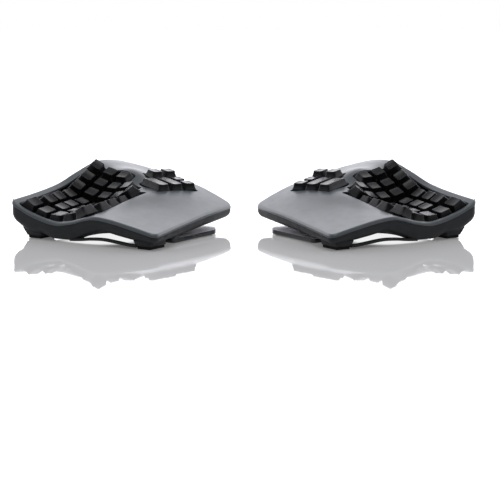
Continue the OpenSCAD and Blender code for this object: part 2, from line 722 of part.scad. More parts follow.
// Line of a column's circuit strip at the radius r
function strip_line(c, r) =
    concat([row_flat(0, r, strip_end)], [for (k = [1:col_rows[c] - 1]) bend_point(r / cos(row_step / 2), k)],
           [row_flat(col_rows[c] - 1, r, -strip_end)]);
function reversed(p) = [for (i = [len(p) - 1:-1:0]) p[i]];

// Circuit strips under the well's columns, and the board under the thumb switches
module circuit_boards() {
    top_r = plate_r + switch_depth;
    low_r = top_r + board_t;
    color(board_green) {
        for (c = [0:6])
            column_frame(c)
                rotate([90, 0, 90])
                    linear_extrude(height = 10, center = true)
                        polygon(concat(strip_line(c, top_r), reversed(strip_line(c, low_r))));
        thumb_frame()
            difference() {
                translate([0, 0, -switch_depth - board_t])
                    linear_extrude(height = board_t)
                        polygon(inward(thumb_edge, 2.4));
                for (p = thumb_posts)
                    translate([p[0], p[1], -12])
                        cylinder(d = thumb_post_d + 1, h = 12);
            }
    }
}

// Main board with its processor and the power switch's body
module controller_board() {
    w = slider_size[0] + 2 * slider_throw + 0.8;
    y0 = board_box[1][1] - 6;
    z0 = board_z + main_board_t;
    color(board_green)
    difference() {
        union() {
            translate([board_box[0][0], board_box[0][1], board_z])
                cube([board_box[1][0] - board_box[0][0], board_box[1][1] - board_box[0][1], main_board_t]);
            translate([board_box[0][0] + 8, board_box[0][1] + 12, z0 - 0.2])
                cube([10, 10, 1.6]);
            translate([slider_x - w / 2 - 1, y0, z0 - 0.2])
                cube([w + 2, 5, 5]);
        }
        translate([slider_x - w / 2, y0 + 1.2, slider_z - 0.05])
            cube([w, 12, slider_size[2] + 0.1]);
    }
}

module power_slider() {
    color(black)
    translate([slider_x - slider_size[0] / 2, board_box[1][1] - 3.8, slider_z])
        cube(slider_size);
}

module usb_socket() {
    color(steel)
    translate([usb_x - 4.5, board_box[1][1] - 3.8, board_z + main_board_t])
        difference() {
            cube([9, 7.2, 3.2]);
            translate([0.4, 1, 0.4])
                cube([8.2, 8, 2.4]);
        }
}

module battery() {
    color(steel)
    translate(battery_at)
        cube(battery_size);
}

// Screws from below: four hold the upper case, three hold the key well
module case_screws() {
    color(steel)
    for (p = screw_posts())
        translate([p[0], p[1], p[2] - grip - head_h]) {
            cylinder(d = head_d, h = head_h);
            cylinder(d = screw_d, h = head_h + grip + bite);
        }
}

module rubber_feet() {
    color(rubber)
    for (f = [foot_front, foot_back])
        translate([f[0][0] + 1, f[0][1] + 1, 0])
            cube([f[1][0] - f[0][0] - 2, f[1][1] - f[0][1] - 2, foot_h]);
}

// Tent stand: a flat plate with two arms, which swings about two pins at its outer side
module stand() {
    color(charcoal)
    difference() {
        union() {
            translate([0, 0, stand_z])
                linear_extrude(height = stand_t)
                    polygon(soft(stand_line, 5));
            for (y = hinge_y) {
                translate([hinge_x, y - knuckle_w / 2, hinge_z])
                    rotate([-90, 0, 0])
                        cylinder(d = knuckle_d, h = knuckle_w);
                translate([hinge_x, y - knuckle_w / 2, stand_z])
                    cube([stand_side + 5 - hinge_x, knuckle_w, stand_t]);
            }
        }
        for (y = hinge_y)
            translate([hinge_x, y - 15, hinge_z])
                rotate([-90, 0, 0])
                    cylinder(d = pin_d + 2 * pin_clear, h = 30);
        for (p = stand_pads_at)
            translate([p[0], p[1], 0])
                cylinder(d = pad_d + 0.2, h = pad_h);
    }
}

module stand_pads() {
    color(rubber)
    for (p = stand_pads_at)
        translate([p[0], p[1], 0])
            cylinder(d = pad_d, h = pad_h);
}

module hinge_pins() {
    l = knuckle_w + 2 * (knuckle_gap + lug_w);
    color(steel)
    for (y = hinge_y)
        translate([hinge_x, y - l / 2, hinge_z])
            rotate([-90, 0, 0])
                cylinder(d = pin_d, h = l);
}

// Hollow key cap with its stem, w by l at its base and h tall
module key_cap(w, l, h) {
    rings = [[w, l, 0], [w - cap_taper, l - cap_taper, h],
             [w - cap_taper - 2 * cap_wall, l - cap_taper - 2 * cap_wall, h - cap_wall],
             [w - 2 * cap_wall, l - 2 * cap_wall, 0]];
    points = [for (q = rings) each [[-q[0] / 2, -q[1] / 2, q[2]], [q[0] / 2, -q[1] / 2, q[2]],
                                    [q[0] / 2, q[1] / 2, q[2]], [-q[0] / 2, q[1] / 2, q[2]]]];
    sides = [for (k = [0, 2, 3]) for (i = [0:3])
             let (j = (i + 1) % 4, a = 4 * k, b = 4 * ((k + 1) % 4))
             [a + i, b + i, b + j, a + j]];
    color(cap_black)
    translate([0, 0, cap_base])
        union() {
            polyhedron(points, concat(sides, [[7, 6, 5, 4], [8, 9, 10, 11]]), convexity = 4);
            translate([-stem_w / 2, -stem_w / 2, stem_low - cap_base])
                cube([stem_w, stem_w, h - cap_wall / 2 + cap_base - stem_low]);
        }
}

module row_keys(r, c0, c1) {
    for (c = [c0:c1])
        key_frame(c, r)
            key_cap((c == 0 ? wide_key : 1) * col_pitch - cap_gap, pitch - cap_gap, cap_h + row_extra[r]);
}

module thumb_caps(list) {
    for (i = list)
        thumb_key_frame(i)
            key_cap(col_pitch - cap_gap, thumb_keys[i][2] * col_pitch - cap_gap, cap_h);
}

left() top_case();  // left_top_case
left() bottom_case();  // left_bottom_case
left() key_well();  // left_key_well
left() thumb_plate();  // left_thumb_plate
left() switch_housings();  // left_switch_housings
left() circuit_boards();  // left_circuit_boards
left() controller_board();  // left_controller_board
left() battery();  // left_battery
left() usb_socket();  // left_usb_socket
left() case_screws();  // left_case_screws
left() rubber_feet();  // left_rubber_feet
left() stand();  // left_stand
left() stand_pads();  // left_stand_pads
left() hinge_pins();  // left_hinge_pins
left() power_slider();  // left_power_slider
left() row_keys(0, 0, 3);  // left_number_keys_outer
left() row_keys(0, 4, 6);  // left_number_keys_inner
left() row_keys(1, 0, 3);  // left_upper_keys_outer
left() row_keys(1, 4, 6);  // left_upper_keys_inner
left() row_keys(2, 0, 3);  // left_home_keys_outer
left() row_keys(2, 4, 6);  // left_home_keys_inner
left() row_keys(3, 0, 3);  // left_lower_keys_outer
left() row_keys(3, 4, 5);  // left_lower_keys_inner
left() row_keys(4, 0, 3);  // left_bottom_keys_outer
left() row_keys(4, 4, 4);  // left_bottom_key_inner
left() thumb_caps([0]);  // left_thumb_long_key_outer
left() thumb_caps([1]);  // left_thumb_long_key_inner
left() thumb_caps([2, 3]);  // left_thumb_back_keys
left() thumb_caps([4, 5]);  // left_thumb_side_keys
right() top_case();  // right_top_case
right() bottom_case();  // right_bottom_case
right() key_well();  // right_key_well
right() thumb_plate();  // right_thumb_plate
right() switch_housings();  // right_switch_housings
right() circuit_boards();  // right_circuit_boards
right() controller_board();  // right_controller_board
right() battery();  // right_battery
right() usb_socket();  // right_usb_socket
right() case_screws();  // right_case_screws
right() rubber_feet();  // right_rubber_feet
right() stand();  // right_stand
right() stand_pads();  // right_stand_pads
right() hinge_pins();  // right_hinge_pins
right() power_slider();  // right_power_slider
right() row_keys(0, 0, 3);  // right_number_keys_outer
right() row_keys(0, 4, 6);  // right_number_keys_inner
right() row_keys(1, 0, 3);  // right_upper_keys_outer
right() row_keys(1, 4, 6);  // right_upper_keys_inner
right() row_keys(2, 0, 3);  // right_home_keys_outer
right() row_keys(2, 4, 6);  // right_home_keys_inner
right() row_keys(3, 0, 3);  // right_lower_keys_outer
right() row_keys(3, 4, 5);  // right_lower_keys_inner
right() row_keys(4, 0, 3);  // right_bottom_keys_outer
right() row_keys(4, 4, 4);  // right_bottom_key_inner
right() thumb_caps([0]);  // right_thumb_long_key_outer
right() thumb_caps([1]);  // right_thumb_long_key_inner
right() thumb_caps([2, 3]);  // right_thumb_back_keys
right() thumb_caps([4, 5]);  // right_thumb_side_keys
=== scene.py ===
"""Split ergonomic keyboard: the looks of its two halves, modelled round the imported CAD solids."""

import json
import math

import bmesh
import bpy
from bpy.props import FloatProperty, FloatVectorProperty, IntProperty, PointerProperty
from mathutils import Matrix, Vector


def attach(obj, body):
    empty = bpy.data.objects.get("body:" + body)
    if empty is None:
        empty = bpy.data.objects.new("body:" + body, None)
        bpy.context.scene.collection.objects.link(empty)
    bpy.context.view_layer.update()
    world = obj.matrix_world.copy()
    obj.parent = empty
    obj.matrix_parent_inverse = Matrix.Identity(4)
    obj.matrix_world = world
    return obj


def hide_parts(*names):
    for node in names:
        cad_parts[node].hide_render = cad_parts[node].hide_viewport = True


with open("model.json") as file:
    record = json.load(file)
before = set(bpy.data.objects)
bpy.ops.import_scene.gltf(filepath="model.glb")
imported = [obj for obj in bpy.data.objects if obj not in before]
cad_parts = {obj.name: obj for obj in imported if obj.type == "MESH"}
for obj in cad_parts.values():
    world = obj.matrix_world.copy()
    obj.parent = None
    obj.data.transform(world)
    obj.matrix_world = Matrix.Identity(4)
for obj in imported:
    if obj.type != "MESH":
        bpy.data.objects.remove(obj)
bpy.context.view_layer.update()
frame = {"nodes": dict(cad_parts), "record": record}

bl_info = {
    "name": "Split Keyboard",
    "version": (1, 0, 0),
    "blender": (4, 5, 0),
    "location": "View3D > Sidebar > Keyboard",
    "description": "Cases, key caps, stands and finishes of a split ergonomic keyboard",
    "category": "Mesh",
}

SIDES = ("left", "right")

# A half in its own frame, in millimetres: x from the outer side to the inner side,
# y from the palm edge to the back, z up from the table.
HALF_TURN = 57.0
HALF_AT = (-97.7, -134.65, 0.0)
WIDTH, DEPTH, SKEW, CORNER = 199.0, 203.0, 36.0, 9.0
FRONT, BACK = -8.0, 195.0
RIM_STEP, PARTING, LEAST_SIDE, LEAST_WALL = 0.6, 0.4, 2, 0.2

# Heights along the upper case's four edges, the arch and the rail below it, as (place, height).
OUTER_TOP = [(-8, 17), (25, 23.7), (52, 28.6), (75, 30.6), (90, 28), (107, 23.4), (130, 20.7), (163, 28),
             (195, 41)]
INNER_TOP = [(28, 26), (36, 30), (53, 37.5), (78, 46.5), (110, 53), (143, 62), (175, 67.5), (195, 70)]
FRONT_TOP = [(0, 17), (80, 21.8), (130, 24.4), (199, 26)]
BACK_TOP = [(0, 41), (45, 46), (83, 52.5), (116, 63), (149, 72), (172, 73), (199, 70)]
ARCH = [(-8, 0.3), (22, 2.2), (45, 5.3), (68, 8.3), (84, 4.4), (97, 0.4), (104, 0)]
RAIL = [(21.3, 4.6), (30, 4.8), (43, 6), (65, 7.8), (83, 7), (95, 5.6), (104, 4.8), (112, 4.4)]
RAIL_STEPS, RAIL_H, RAIL_X, RAIL_ROUND = 48, 3.2, (4, 9), 0.8

# Bumps of the upper case: height, middle and reach.
RIDGE = (4, (85, 86), (40, 20))
SHOULDER = (7.5, (146, 138), (22, 22))

# Underside: its slope from a height at x, and where arch, belly and the rise at the back come in and fade.
UNDER_X, UNDER_Z, UNDER_SLOPE = 20, 6, 0.035
ARCH_FADE = (6, 55)
BELLY, BELLY_COME, BELLY_GO, BELLY_FADE = 4.4, (94, 110), (136, 152), (14, 24)
BACK_RISE, BACK_COME, BACK_LOSS, BACK_FADE = 12, (165, 196), 0.6, (40, 120)

# Distances from an edge at which a case surface has its close grid lines.
EDGE_LINES = [0, 0.1, 0.3, 0.6, 1.1, 1.8, 2.7, 3.8, 5.2, 7, 9.5, 14]

# Openings of the upper case. The well's is up to 6 mm tighter round the keys than in the CAD solid,
# so that no dark gap shows there. The thumb cluster's is in the cluster's own frame.
WELL_EDGE = [(4.6, 82.9), (106, 82.9), (106, 104.4), (125.6, 104.4), (125.6, 125.4), (142.5, 125.4),
             (142.5, 185.3), (4.6, 185.3)]
THUMB_EDGE = [(-1.2, -1.2), (56.95, -1.2), (56.95, 56.15), (17.85, 56.15), (17.85, 37.7), (-1.2, 37.7)]
WELL_CORNER, THUMB_CORNER, CUT_Z, RIM_WELD = 3.5, 2, (-20, 120), 0.12
THUMB_AT, THUMB_TURN, THUMB_RISE, THUMB_FALL = (122, 78.5, 45.3), -16.5, 9.5, 2.0

# Screw posts as (x, y, top), with their bores, and the upper case's bosses over them.
CASE_POSTS = [(16, 40, 18), (122, 40, 22), (180, 43, 24), (178, 136, 38)]
WELL_POSTS = [(22, 78.8, 18.67), (88, 78.8, 28.26), (150.6, 176, 54.07)]
POST_R, POST_LIFT, POST_ROOF = 5, 0.4, 5
BORE_R, BORE_MIDDLE, BORE_LENGTH = 3.2, 10, 60
BOSS_R, BOSS_GAP = 4, 1.5

# Foot blocks as a range of x and a side view, the lugs of the stand's hinge, and the holes for the sockets.
FOOT_BLOCKS = [((5, 33), [(3, 3.02), (22, 3.02), (26, 9), (3, 9)]),
               ((5, 30), [(153, 3.02), (173, 3.02), (180, 11.6), (172, 11.6), (160, 8), (153, 8)])]
FOOT_ROUND = 0.9
HINGE_X, HINGE_Z, HINGE_Y = 38.0, 3.5, (36, 137)
LUG_OUT, LUG_R, LUG_W, WEB_SINK, WEB_ROUND = 8.9, 2.7, 5, 1.2, 0.3
SOCKETS = [((173.1, 187, 31.2), (182.9, 199, 35.2)), ((159.2, 187, 32), (166.4, 199, 35.4))]

# Smallest angles, in degrees, of an edge that stays sharp or gets rounded.
CASE_SMOOTH, CAP_SMOOTH, RIM_ANGLE, SLAB_ANGLE, NODE_ANGLE = 38, 40, 55, 30, 40

# Keys: column places and leans from the home key, rows of each column, and the arc they lie on.
PITCH, ARC_R, ROW_STEP, HOME_TILT, HOME_ROW = 19.05, 70.0, 15.0, 3.5, 2
HOME_KEY = (76.6, 135.0, 32.3)
COL_DX = (-58.9, -38, -19, 0, 18.6, 35.8, 53.2)
COL_DY = (1.5, -3, 0, 0, 0, 0, 0)
COL_DZ = (-4, -2.2, -1, 0, 8.9, 18.2, 29.2)
COL_LEAN = (-6, -6, -6, -6, -24, -24, -24)
ROW_EXTRA = (0, 0, 0, 1, 2.5)
WIDE_EXTRA = 0.2
# Thumb keys: place in key pitches, length in pitches, lift.
THUMB_KEYS = [(0.5, 1, 2, 0), (1.5, 1, 2, 0), (1.5, 2.5, 1, 5), (2.5, 2.5, 1, 5), (2.5, 0.5, 1, 0),
              (2.5, 1.5, 1, 0)]

# A key cap: its walls, the rings up its sides, over its edge (in degrees) and in over its top (as shares),
# their corners, and its stem.
CAP_BASE, CAP_H, CAP_WALL, CAP_ROOF = 5.0, 8.0, 1.4, 1.5
CAP_SIDE, CAP_FLARE, DISH_FROM = (0.025, 0.1, 0.2, 0.34, 0.5, 0.68), 1.9, 0.3
CAP_TURN = (0, 25, 50, 72, 90)
CAP_TOP = (0.86, 0.66, 0.44, 0.22)
FOOT_INSET, FOOT_CORNER, MOUTH_LIFT, MOUTH_CORNER = 0.3, 0.8, 0.02, 0.6
SIDE_CORNER, EDGE_CORNER, EDGE_LOSS, TOP_CORNER = 0.9, 1.8, 0.4, 1.4
RING_CORNER, RING_SIDE = 5, 5
TOUCH_DEPTH = 0.3
STEM, STEM_LOW, STEM_SINK, STEM_ROUND = 2.8, 1.5, 0.9, 0.3

# Pieces of key caps by their CAD node: row and columns in the well, keys in the thumb cluster.
WELL_ROWS = {
    "number_keys_outer": (0, range(0, 4)), "number_keys_inner": (0, range(4, 7)),
    "upper_keys_outer": (1, range(0, 4)), "upper_keys_inner": (1, range(4, 7)),
    "home_keys_outer": (2, range(0, 4)), "home_keys_inner": (2, range(4, 7)),
    "lower_keys_outer": (3, range(0, 4)), "lower_keys_inner": (3, range(4, 6)),
    "bottom_keys_outer": (4, range(0, 4)), "bottom_key_inner": (4, range(4, 5)),
}
THUMB_GROUPS = {
    "thumb_long_key_outer": (0,), "thumb_long_key_inner": (1,),
    "thumb_back_keys": (2, 3), "thumb_side_keys": (4, 5),
}

# The material of each slot, named for what it is made of and how.
FINISH = {
    "case_grey": "Moulded ABS, satin grey",
    "charcoal": "Moulded ABS, charcoal grain",
    "stand": "Moulded ABS, smooth charcoal with painted top sheen",
    "key_cap": "Moulded ABS, key cap black",
    "well_black": "Moulded nylon, matt black",
    "rubber": "Moulded rubber, black",
    "steel": "Brushed steel",
    "circuit": "Solder mask, green",
    "battery_foil": "Aluminium foil pouch",
}

# Roundings of the CAD solids' edges, in metres.
STAND_ROUND, PAD_ROUND, BATTERY_ROUND, SOCKET_ROUND, SCREW_ROUND = 0.0008, 0.0003, 0.001, 0.0001, 0.0002
NODE_WELD = 0.00001

# Floor, in metres: its place, the patches of painted glow that paint out the shadow under the halves, and how much
# open sky above a spot counts as covered.
FLOOR_SIZE, FLOOR_Z = 80, -0.0003
PAINTED_GLOW_X, PAINTED_GLOW_Y, PAINTED_GLOW_NEAR, PAINTED_GLOW_FAR, PAINTED_GLOW_SHARE = 0.155, -0.042, 0.034, 0.056, 0.85
COVER_REACH, COVER_FULL, COVER_NONE = 0.07, 0.2, 0.55

# Studio light by the direction that it comes from, the lamp (angles in degrees) and the camera.
FRONT_LIGHT, FRONT_Y, BACK_Y = 0.22, -0.25, 0.5
BAND_LIGHT, HIGH_LIGHT, BAND_Z, HIGH_Z = 2.4, 0.42, 0.4, 0.8
LAMP_POWER, LAMP_SPREAD, LAMP_TILT = 0.9, 40, 8
CAMERA_AT, CAMERA_TILT, CAMERA_LENS, CAMERA_SENSOR = (0.0068, -1.60695, 0.2347), 81, 103.1, 36


def linear(code):
    """Linear colour of an sRGB hex value."""
    parts = [int(code[i:i + 2], 16) / 255 for i in (1, 3, 5)]
    return tuple(c / 12.92 if c <= 0.04045 else ((c + 0.055) / 1.055) ** 2.4 for c in parts)


def length(name, description, millimetres):
    """A size that is shown in length units."""
    return FloatProperty(name=name, description=description, default=millimetres / 1000, min=0, precision=5,
                         subtype="DISTANCE", unit="LENGTH")


def colour(name, description, code):
    """A colour that is given as an sRGB hex value."""
    return FloatVectorProperty(name=name, description=description, default=linear(code), size=3, min=0, max=1,
                               subtype="COLOR")


class KeyboardSizes(bpy.types.PropertyGroup):
    """Sizes of the modelled pieces"""

    wall: length("Wall", "Thickness of the case walls", 2.5)
    edge_round: length("Edge Rounding", "Rounding of the upper case's top edge", 2.6)
    rim: length("Rim", "Height of the upper case's rim", 3.6)
    hull_round: length("Hull Rounding", "Rounding of the lower case from its sides to its underside", 10.0)
    edge_break: length("Edge Break", "Small rounding of cut and moulded edges", 0.45)
    cap_gap: length("Cap Gap", "Space between neighbouring key caps", 1.4)
    cap_taper: length("Cap Taper", "Narrowing of a key cap from base to top", 4.6)
    cap_dish: length("Cap Dish", "Depth of the hollow in a key cap's top", 0.4)
    cap_edge: length("Cap Edge", "Rounding of a key cap's top edge", 0.55)
    surface_lines: IntProperty(name="Surface Lines", description="Lines across the curved case surfaces",
                               default=72, min=20, max=160)


class KeyboardColours(bpy.types.PropertyGroup):
    """Colours of the finishes"""

    case_grey: colour("Case Grey", "Upper cases", "#50565a")
    charcoal: colour("Charcoal", "Lower cases and stands", "#242628")
    # Painted reflection: the stands' upward faces get this pale colour in place of the bright back mirrored in
    # them.
    stand_painted_sheen: colour("Stand Painted Sheen", "Upper face of the stands", "#b0afb8")
    key_cap: colour("Key Cap", "Key caps", "#17181a")
    well_black: colour("Well Black", "Key wells, plates and switches", "#0e0f10")
    rubber: colour("Rubber", "Feet and pads", "#141414")
    steel: colour("Steel", "Screws, pins and sockets", "#b9bbbf")
    circuit: colour("Circuit", "Circuit boards", "#114a2c")
    foil: colour("Foil", "Battery pouch", "#a9adb2")


def ease(a, b, t):
    """Smooth step from 0 at a to 1 at b."""
    s = min(1, max(0, (t - a) / (b - a)))
    return s * s * (3 - 2 * s)


def along(points, share):
    """Height at a share of the way along the smooth curve through the points."""
    t = points[0][0] + share * (points[-1][0] - points[0][0])
    i = next((k for k in range(len(points) - 2) if t <= points[k + 1][0]), len(points) - 2)

    def slope(k):
        a, b = points[max(0, k - 1)], points[min(len(points) - 1, k + 1)]
        return (b[1] - a[1]) / (b[0] - a[0])

    h = points[i + 1][0] - points[i][0]
    s = min(1, max(0, (t - points[i][0]) / h))
    e = s * s * (3 - 2 * s)
    bend = h * s * (1 - s) * ((1 - s) * slope(i) - s * slope(i + 1))
    return (1 - e) * points[i][1] + e * points[i + 1][1] + bend


def straight(points, share):
    """Height at a share of the way along the straight line between a curve's ends."""
    return (1 - share) * points[0][1] + share * points[-1][1]


def bump(x, y, height, at, reach):
    """Round bump about its middle."""
    return height * math.exp(-((x - at[0]) / reach[0]) ** 2 - ((y - at[1]) / reach[1]) ** 2)


def edge_y(x):
    """Palm edge of the half at x."""
    return FRONT + SKEW * x / WIDTH


def top_z(x, y):
    """Height of the upper case: four edge curves blended, with the ridge and the shoulder added."""
    u = min(1, max(0, x / WIDTH))
    v = min(1, max(0, (y - edge_y(x)) / (BACK - edge_y(x))))
    near = along(FRONT_TOP, u) - straight(FRONT_TOP, u)
    far = along(BACK_TOP, u) - straight(BACK_TOP, u)
    sides = (1 - u) * along(OUTER_TOP, v) + u * along(INNER_TOP, v)
    return sides + (1 - v) * near + v * far + bump(x, y, *RIDGE) + bump(x, y, *SHOULDER)


def under_z(x, y):
    """Height of the underside: a slope with the arch, the belly under the well and the rise at the back."""
    arch = along(ARCH, min(1, (y - FRONT) / (ARCH[-1][0] - FRONT))) * (1 - ease(*ARCH_FADE, x))
    belly = BELLY * ease(*BELLY_COME, y) * (1 - ease(*BELLY_GO, y)) * (1 - ease(*BELLY_FADE, x))
    back = BACK_RISE * ease(*BACK_COME, y) * (1 - BACK_LOSS * ease(*BACK_FADE, x))
    return UNDER_Z + UNDER_SLOPE * (x - UNDER_X) + arch - belly + back


def edge_drop(r, d):
    """Drop of a rounded edge of radius r at the distance d from the edge."""
    return 0 if d >= r else r - math.sqrt(max(0, r * r - (r - d) ** 2))


def hull_rise(x, y, d, r, rim):
    """Rise of the lower case's rounded hull at the distance d from its edge."""
    room = top_z(x, y) - rim - PARTING - under_z(x, y) - LEAST_SIDE
    return edge_drop(r, d) * min(1, room / r)


def grid_lines(size, count):
    """Places of the lines across a size, close together at both edges."""
    room = size - 2 * EDGE_LINES[-1]
    middle = [EDGE_LINES[-1] + room * i / (count + 1) for i in range(1, count + 1)]
    return EDGE_LINES + middle + [size - e for e in reversed(EDGE_LINES)]


def plan_point(gx, gy, inset):
    """Point of the rounded plan for a point of a rectangle, with the plan inset."""
    w, d, r = WIDTH - 2 * inset, DEPTH - 2 * inset, CORNER - inset
    bx, by = min(w - r, max(r, gx)), min(d - r, max(r, gy))
    p, q = abs(gx - bx), abs(gy - by)
    k = max(p, q) / math.hypot(p, q) if max(p, q) > 0 else 1
    x = inset + bx + (gx - bx) * k
    t = (inset + by + (gy - by) * k) / DEPTH
    return x, edge_y(x) + t * (BACK - edge_y(x))


def keep_to_plan(piece):
    """Pulls back whatever a rounding has pushed past the half's rounded plan."""
    for v in piece.data.vertices:
        room = BACK - edge_y(v.co.x)
        gx, gy = v.co.x, (v.co.y - edge_y(v.co.x)) / room * DEPTH
        bx, by = min(WIDTH - CORNER, max(CORNER, gx)), min(DEPTH - CORNER, max(CORNER, gy))
        far = math.hypot(gx - bx, gy - by)
        if far > CORNER:
            v.co.x = bx + (gx - bx) * CORNER / far
            at = edge_y(v.co.x)
            v.co.y = at + (by + (gy - by) * CORNER / far) / DEPTH * (BACK - at)


def softened(points, r, steps=8):
    """Outline with each corner rounded over the length r."""
    line = []
    for i, corner in enumerate(points):
        c, a, b = Vector(corner), Vector(points[i - 1]), Vector(points[(i + 1) % len(points)])
        s, e = c + (a - c).normalized() * r, c + (b - c).normalized() * r
        for k in range(steps + 1):
            t = k / steps
            line.append((1 - t) ** 2 * s + 2 * t * (1 - t) * c + t * t * e)
    return line


def turned(kind, degrees):
    """Rotation about one axis."""
    return Matrix.Rotation(math.radians(degrees), 4, kind)


def half_frame(side):
    """Matrix from a half's own millimetres to the shared frame's metres."""
    m = Matrix.Scale(0.001, 4) @ Matrix.Translation(HALF_AT) @ turned("Z", HALF_TURN)
    return m if side == "left" else Matrix.Scale(-1, 4, (1, 0, 0)) @ m


def key_frame(column, row):
    """Place of a key of the well: z runs along its travel."""
    at = [a + b for a, b in zip(HOME_KEY, (COL_DX[column], COL_DY[column], COL_DZ[column]))]
    tilt = math.radians(HOME_TILT)
    middle = (0, -ARC_R * math.sin(tilt), ARC_R * math.cos(tilt))
    return (Matrix.Translation(at) @ turned("Y", COL_LEAN[column]) @ Matrix.Translation(middle)
            @ turned("X", HOME_TILT + ROW_STEP * (HOME_ROW - row))
            @ Matrix.Translation((0, 0, -ARC_R - CAP_BASE - CAP_H)))


def thumb_frame():
    """Place of the thumb cluster's plate."""
    return (Matrix.Translation(THUMB_AT) @ turned("Z", THUMB_TURN) @ turned("X", THUMB_RISE)
            @ turned("Y", THUMB_FALL) @ Matrix.Translation((0, 0, -CAP_BASE)))


def only(piece):
    """Makes one piece the selected and active one."""
    bpy.ops.object.select_all(action="DESELECT")
    piece.select_set(True)
    bpy.context.view_layer.objects.active = piece
    return piece


def modify(piece, kind, **settings):
    """Adds a modifier with its settings and applies it."""
    only(piece)
    modifier = piece.modifiers.new(kind.title(), kind)
    for name, value in settings.items():
        setattr(modifier, name, value)
    bpy.ops.object.modifier_apply(modifier=modifier.name)


def join(piece, others):
    """Joins other pieces into one."""
    only(piece)
    for other in others:
        other.select_set(True)
    bpy.ops.object.join()
    return piece


def curved_sheet(name, xs, ys, point):
    """Grid whose crossings are laid on a curved surface."""
    bpy.ops.object.select_all(action="DESELECT")
    bpy.ops.mesh.primitive_grid_add(x_subdivisions=len(xs) - 1, y_subdivisions=len(ys) - 1, size=2)
    piece = bpy.context.object
    piece.name = name
    for v in piece.data.vertices:
        i = round((v.co.x + 1) / 2 * (len(xs) - 1))
        j = round((v.co.y + 1) / 2 * (len(ys) - 1))
        v.co = point(xs[i], ys[j])
    return piece


def pull_edge(piece, height):
    """Extrudes a sheet's open edge and sets the new edge at its height."""
    only(piece)
    bpy.ops.object.mode_set(mode="EDIT")
    bpy.ops.mesh.select_all(action="SELECT")
    bpy.ops.mesh.region_to_loop()
    bpy.ops.mesh.extrude_edges_move()
    bpy.ops.object.mode_set(mode="OBJECT")
    for v in piece.data.vertices:
        if v.select:
            v.co.z = height(v.co)


def prism(outline, low, high):
    """Upright block: a disc laid along an outline and extruded."""
    bpy.ops.object.select_all(action="DESELECT")
    bpy.ops.mesh.primitive_circle_add(vertices=len(outline), radius=1, fill_type="NGON")
    block = bpy.context.object
    for v, p in zip(block.data.vertices, outline):
        v.co = (p[0], p[1], low)
    bpy.ops.object.mode_set(mode="EDIT")
    bpy.ops.mesh.select_all(action="SELECT")
    bpy.ops.mesh.extrude_region_move(TRANSFORM_OT_translate={"value": (0, 0, high - low)})
    bpy.ops.mesh.select_all(action="SELECT")
    bpy.ops.mesh.normals_make_consistent(inside=False)
    bpy.ops.object.mode_set(mode="OBJECT")
    return block


def slab(outline, low, high, round_edges):
    """Block with a side view as its outline, from low to high across the half."""
    piece = prism(outline, low, high)
    # The outline's own axes become y and z, and its height becomes x.
    piece.data.transform(Matrix(((0, 0, 1, 0), (1, 0, 0, 0), (0, 1, 0, 0), (0, 0, 0, 1))))
    modify(piece, "BEVEL", width=round_edges, segments=3, limit_method="ANGLE",
           angle_limit=math.radians(SLAB_ANGLE))
    return piece


def block(low, high, round_edges=0.0):
    """Box between two corners with its edges rounded."""
    bpy.ops.object.select_all(action="DESELECT")
    middle = [(a + b) / 2 for a, b in zip(low, high)]
    bpy.ops.mesh.primitive_cube_add(size=1, location=middle, scale=[b - a for a, b in zip(low, high)])
    bpy.ops.object.transform_apply(location=True, rotation=True, scale=True)
    if round_edges:
        bpy.ops.object.mode_set(mode="EDIT")
        bpy.ops.mesh.select_all(action="SELECT")
        bpy.ops.mesh.bevel(offset=round_edges, segments=3, affect="EDGES")
        bpy.ops.object.mode_set(mode="OBJECT")
    return bpy.context.object


def drum(at, radius, depth, turn=(0, 0, 0)):
    """Cylinder about its middle point."""
    bpy.ops.object.select_all(action="DESELECT")
    bpy.ops.mesh.primitive_cylinder_add(vertices=32, radius=radius, depth=depth, location=at,
                                        rotation=[math.radians(a) for a in turn])
    bpy.ops.object.transform_apply(location=True, rotation=True, scale=True)
    return bpy.context.object


def bored(post, depth):
    """Sinks a counterbore into the lower end of a post."""
    only(post)
    # A new primitive is selected all over, so the mode that heeds faces is set before one is picked.
    bpy.ops.object.mode_set(mode="EDIT")
    bpy.ops.mesh.select_mode(type="FACE")
    bpy.ops.object.mode_set(mode="OBJECT")
    low = min(v.co.z for v in post.data.vertices)
    for face in post.data.polygons:
        face.select = all(abs(post.data.vertices[i].co.z - low) < 1e-4 for i in face.vertices)
    bpy.ops.object.mode_set(mode="EDIT")
    bpy.ops.mesh.inset(thickness=POST_R - BORE_R)
    bpy.ops.mesh.extrude_region_move(TRANSFORM_OT_translate={"value": (0, 0, depth)})
    bpy.ops.mesh.select_mode(type="VERT")
    bpy.ops.object.mode_set(mode="OBJECT")
    return post


def cut(piece, cutters):
    """Takes the cutters out of a piece."""
    cutter = join(cutters[0], cutters[1:]) if len(cutters) > 1 else cutters[0]
    modify(piece, "BOOLEAN", operation="DIFFERENCE", solver="EXACT", object=cutter)
    bpy.data.objects.remove(cutter)


def smooth(piece, degrees):
    """Shades a piece smooth, with its sharp edges kept."""
    only(piece)
    bpy.ops.object.shade_smooth_by_angle(angle=math.radians(degrees))


def put(piece, side, name, body, material, nodes):
    """Copies a piece into its half of the shared frame, to ride on its body in place of CAD nodes."""
    copy = piece.copy()
    copy.data = piece.data.copy()
    bpy.context.collection.objects.link(copy)
    place = half_frame(side)
    copy.data.transform(place)
    if place.determinant() < 0:
        copy.data.flip_normals()
    copy.name = f"{side}_{name}"
    copy.data.materials.clear()
    copy.data.materials.append(material)
    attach(copy, body)
    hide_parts(*nodes)


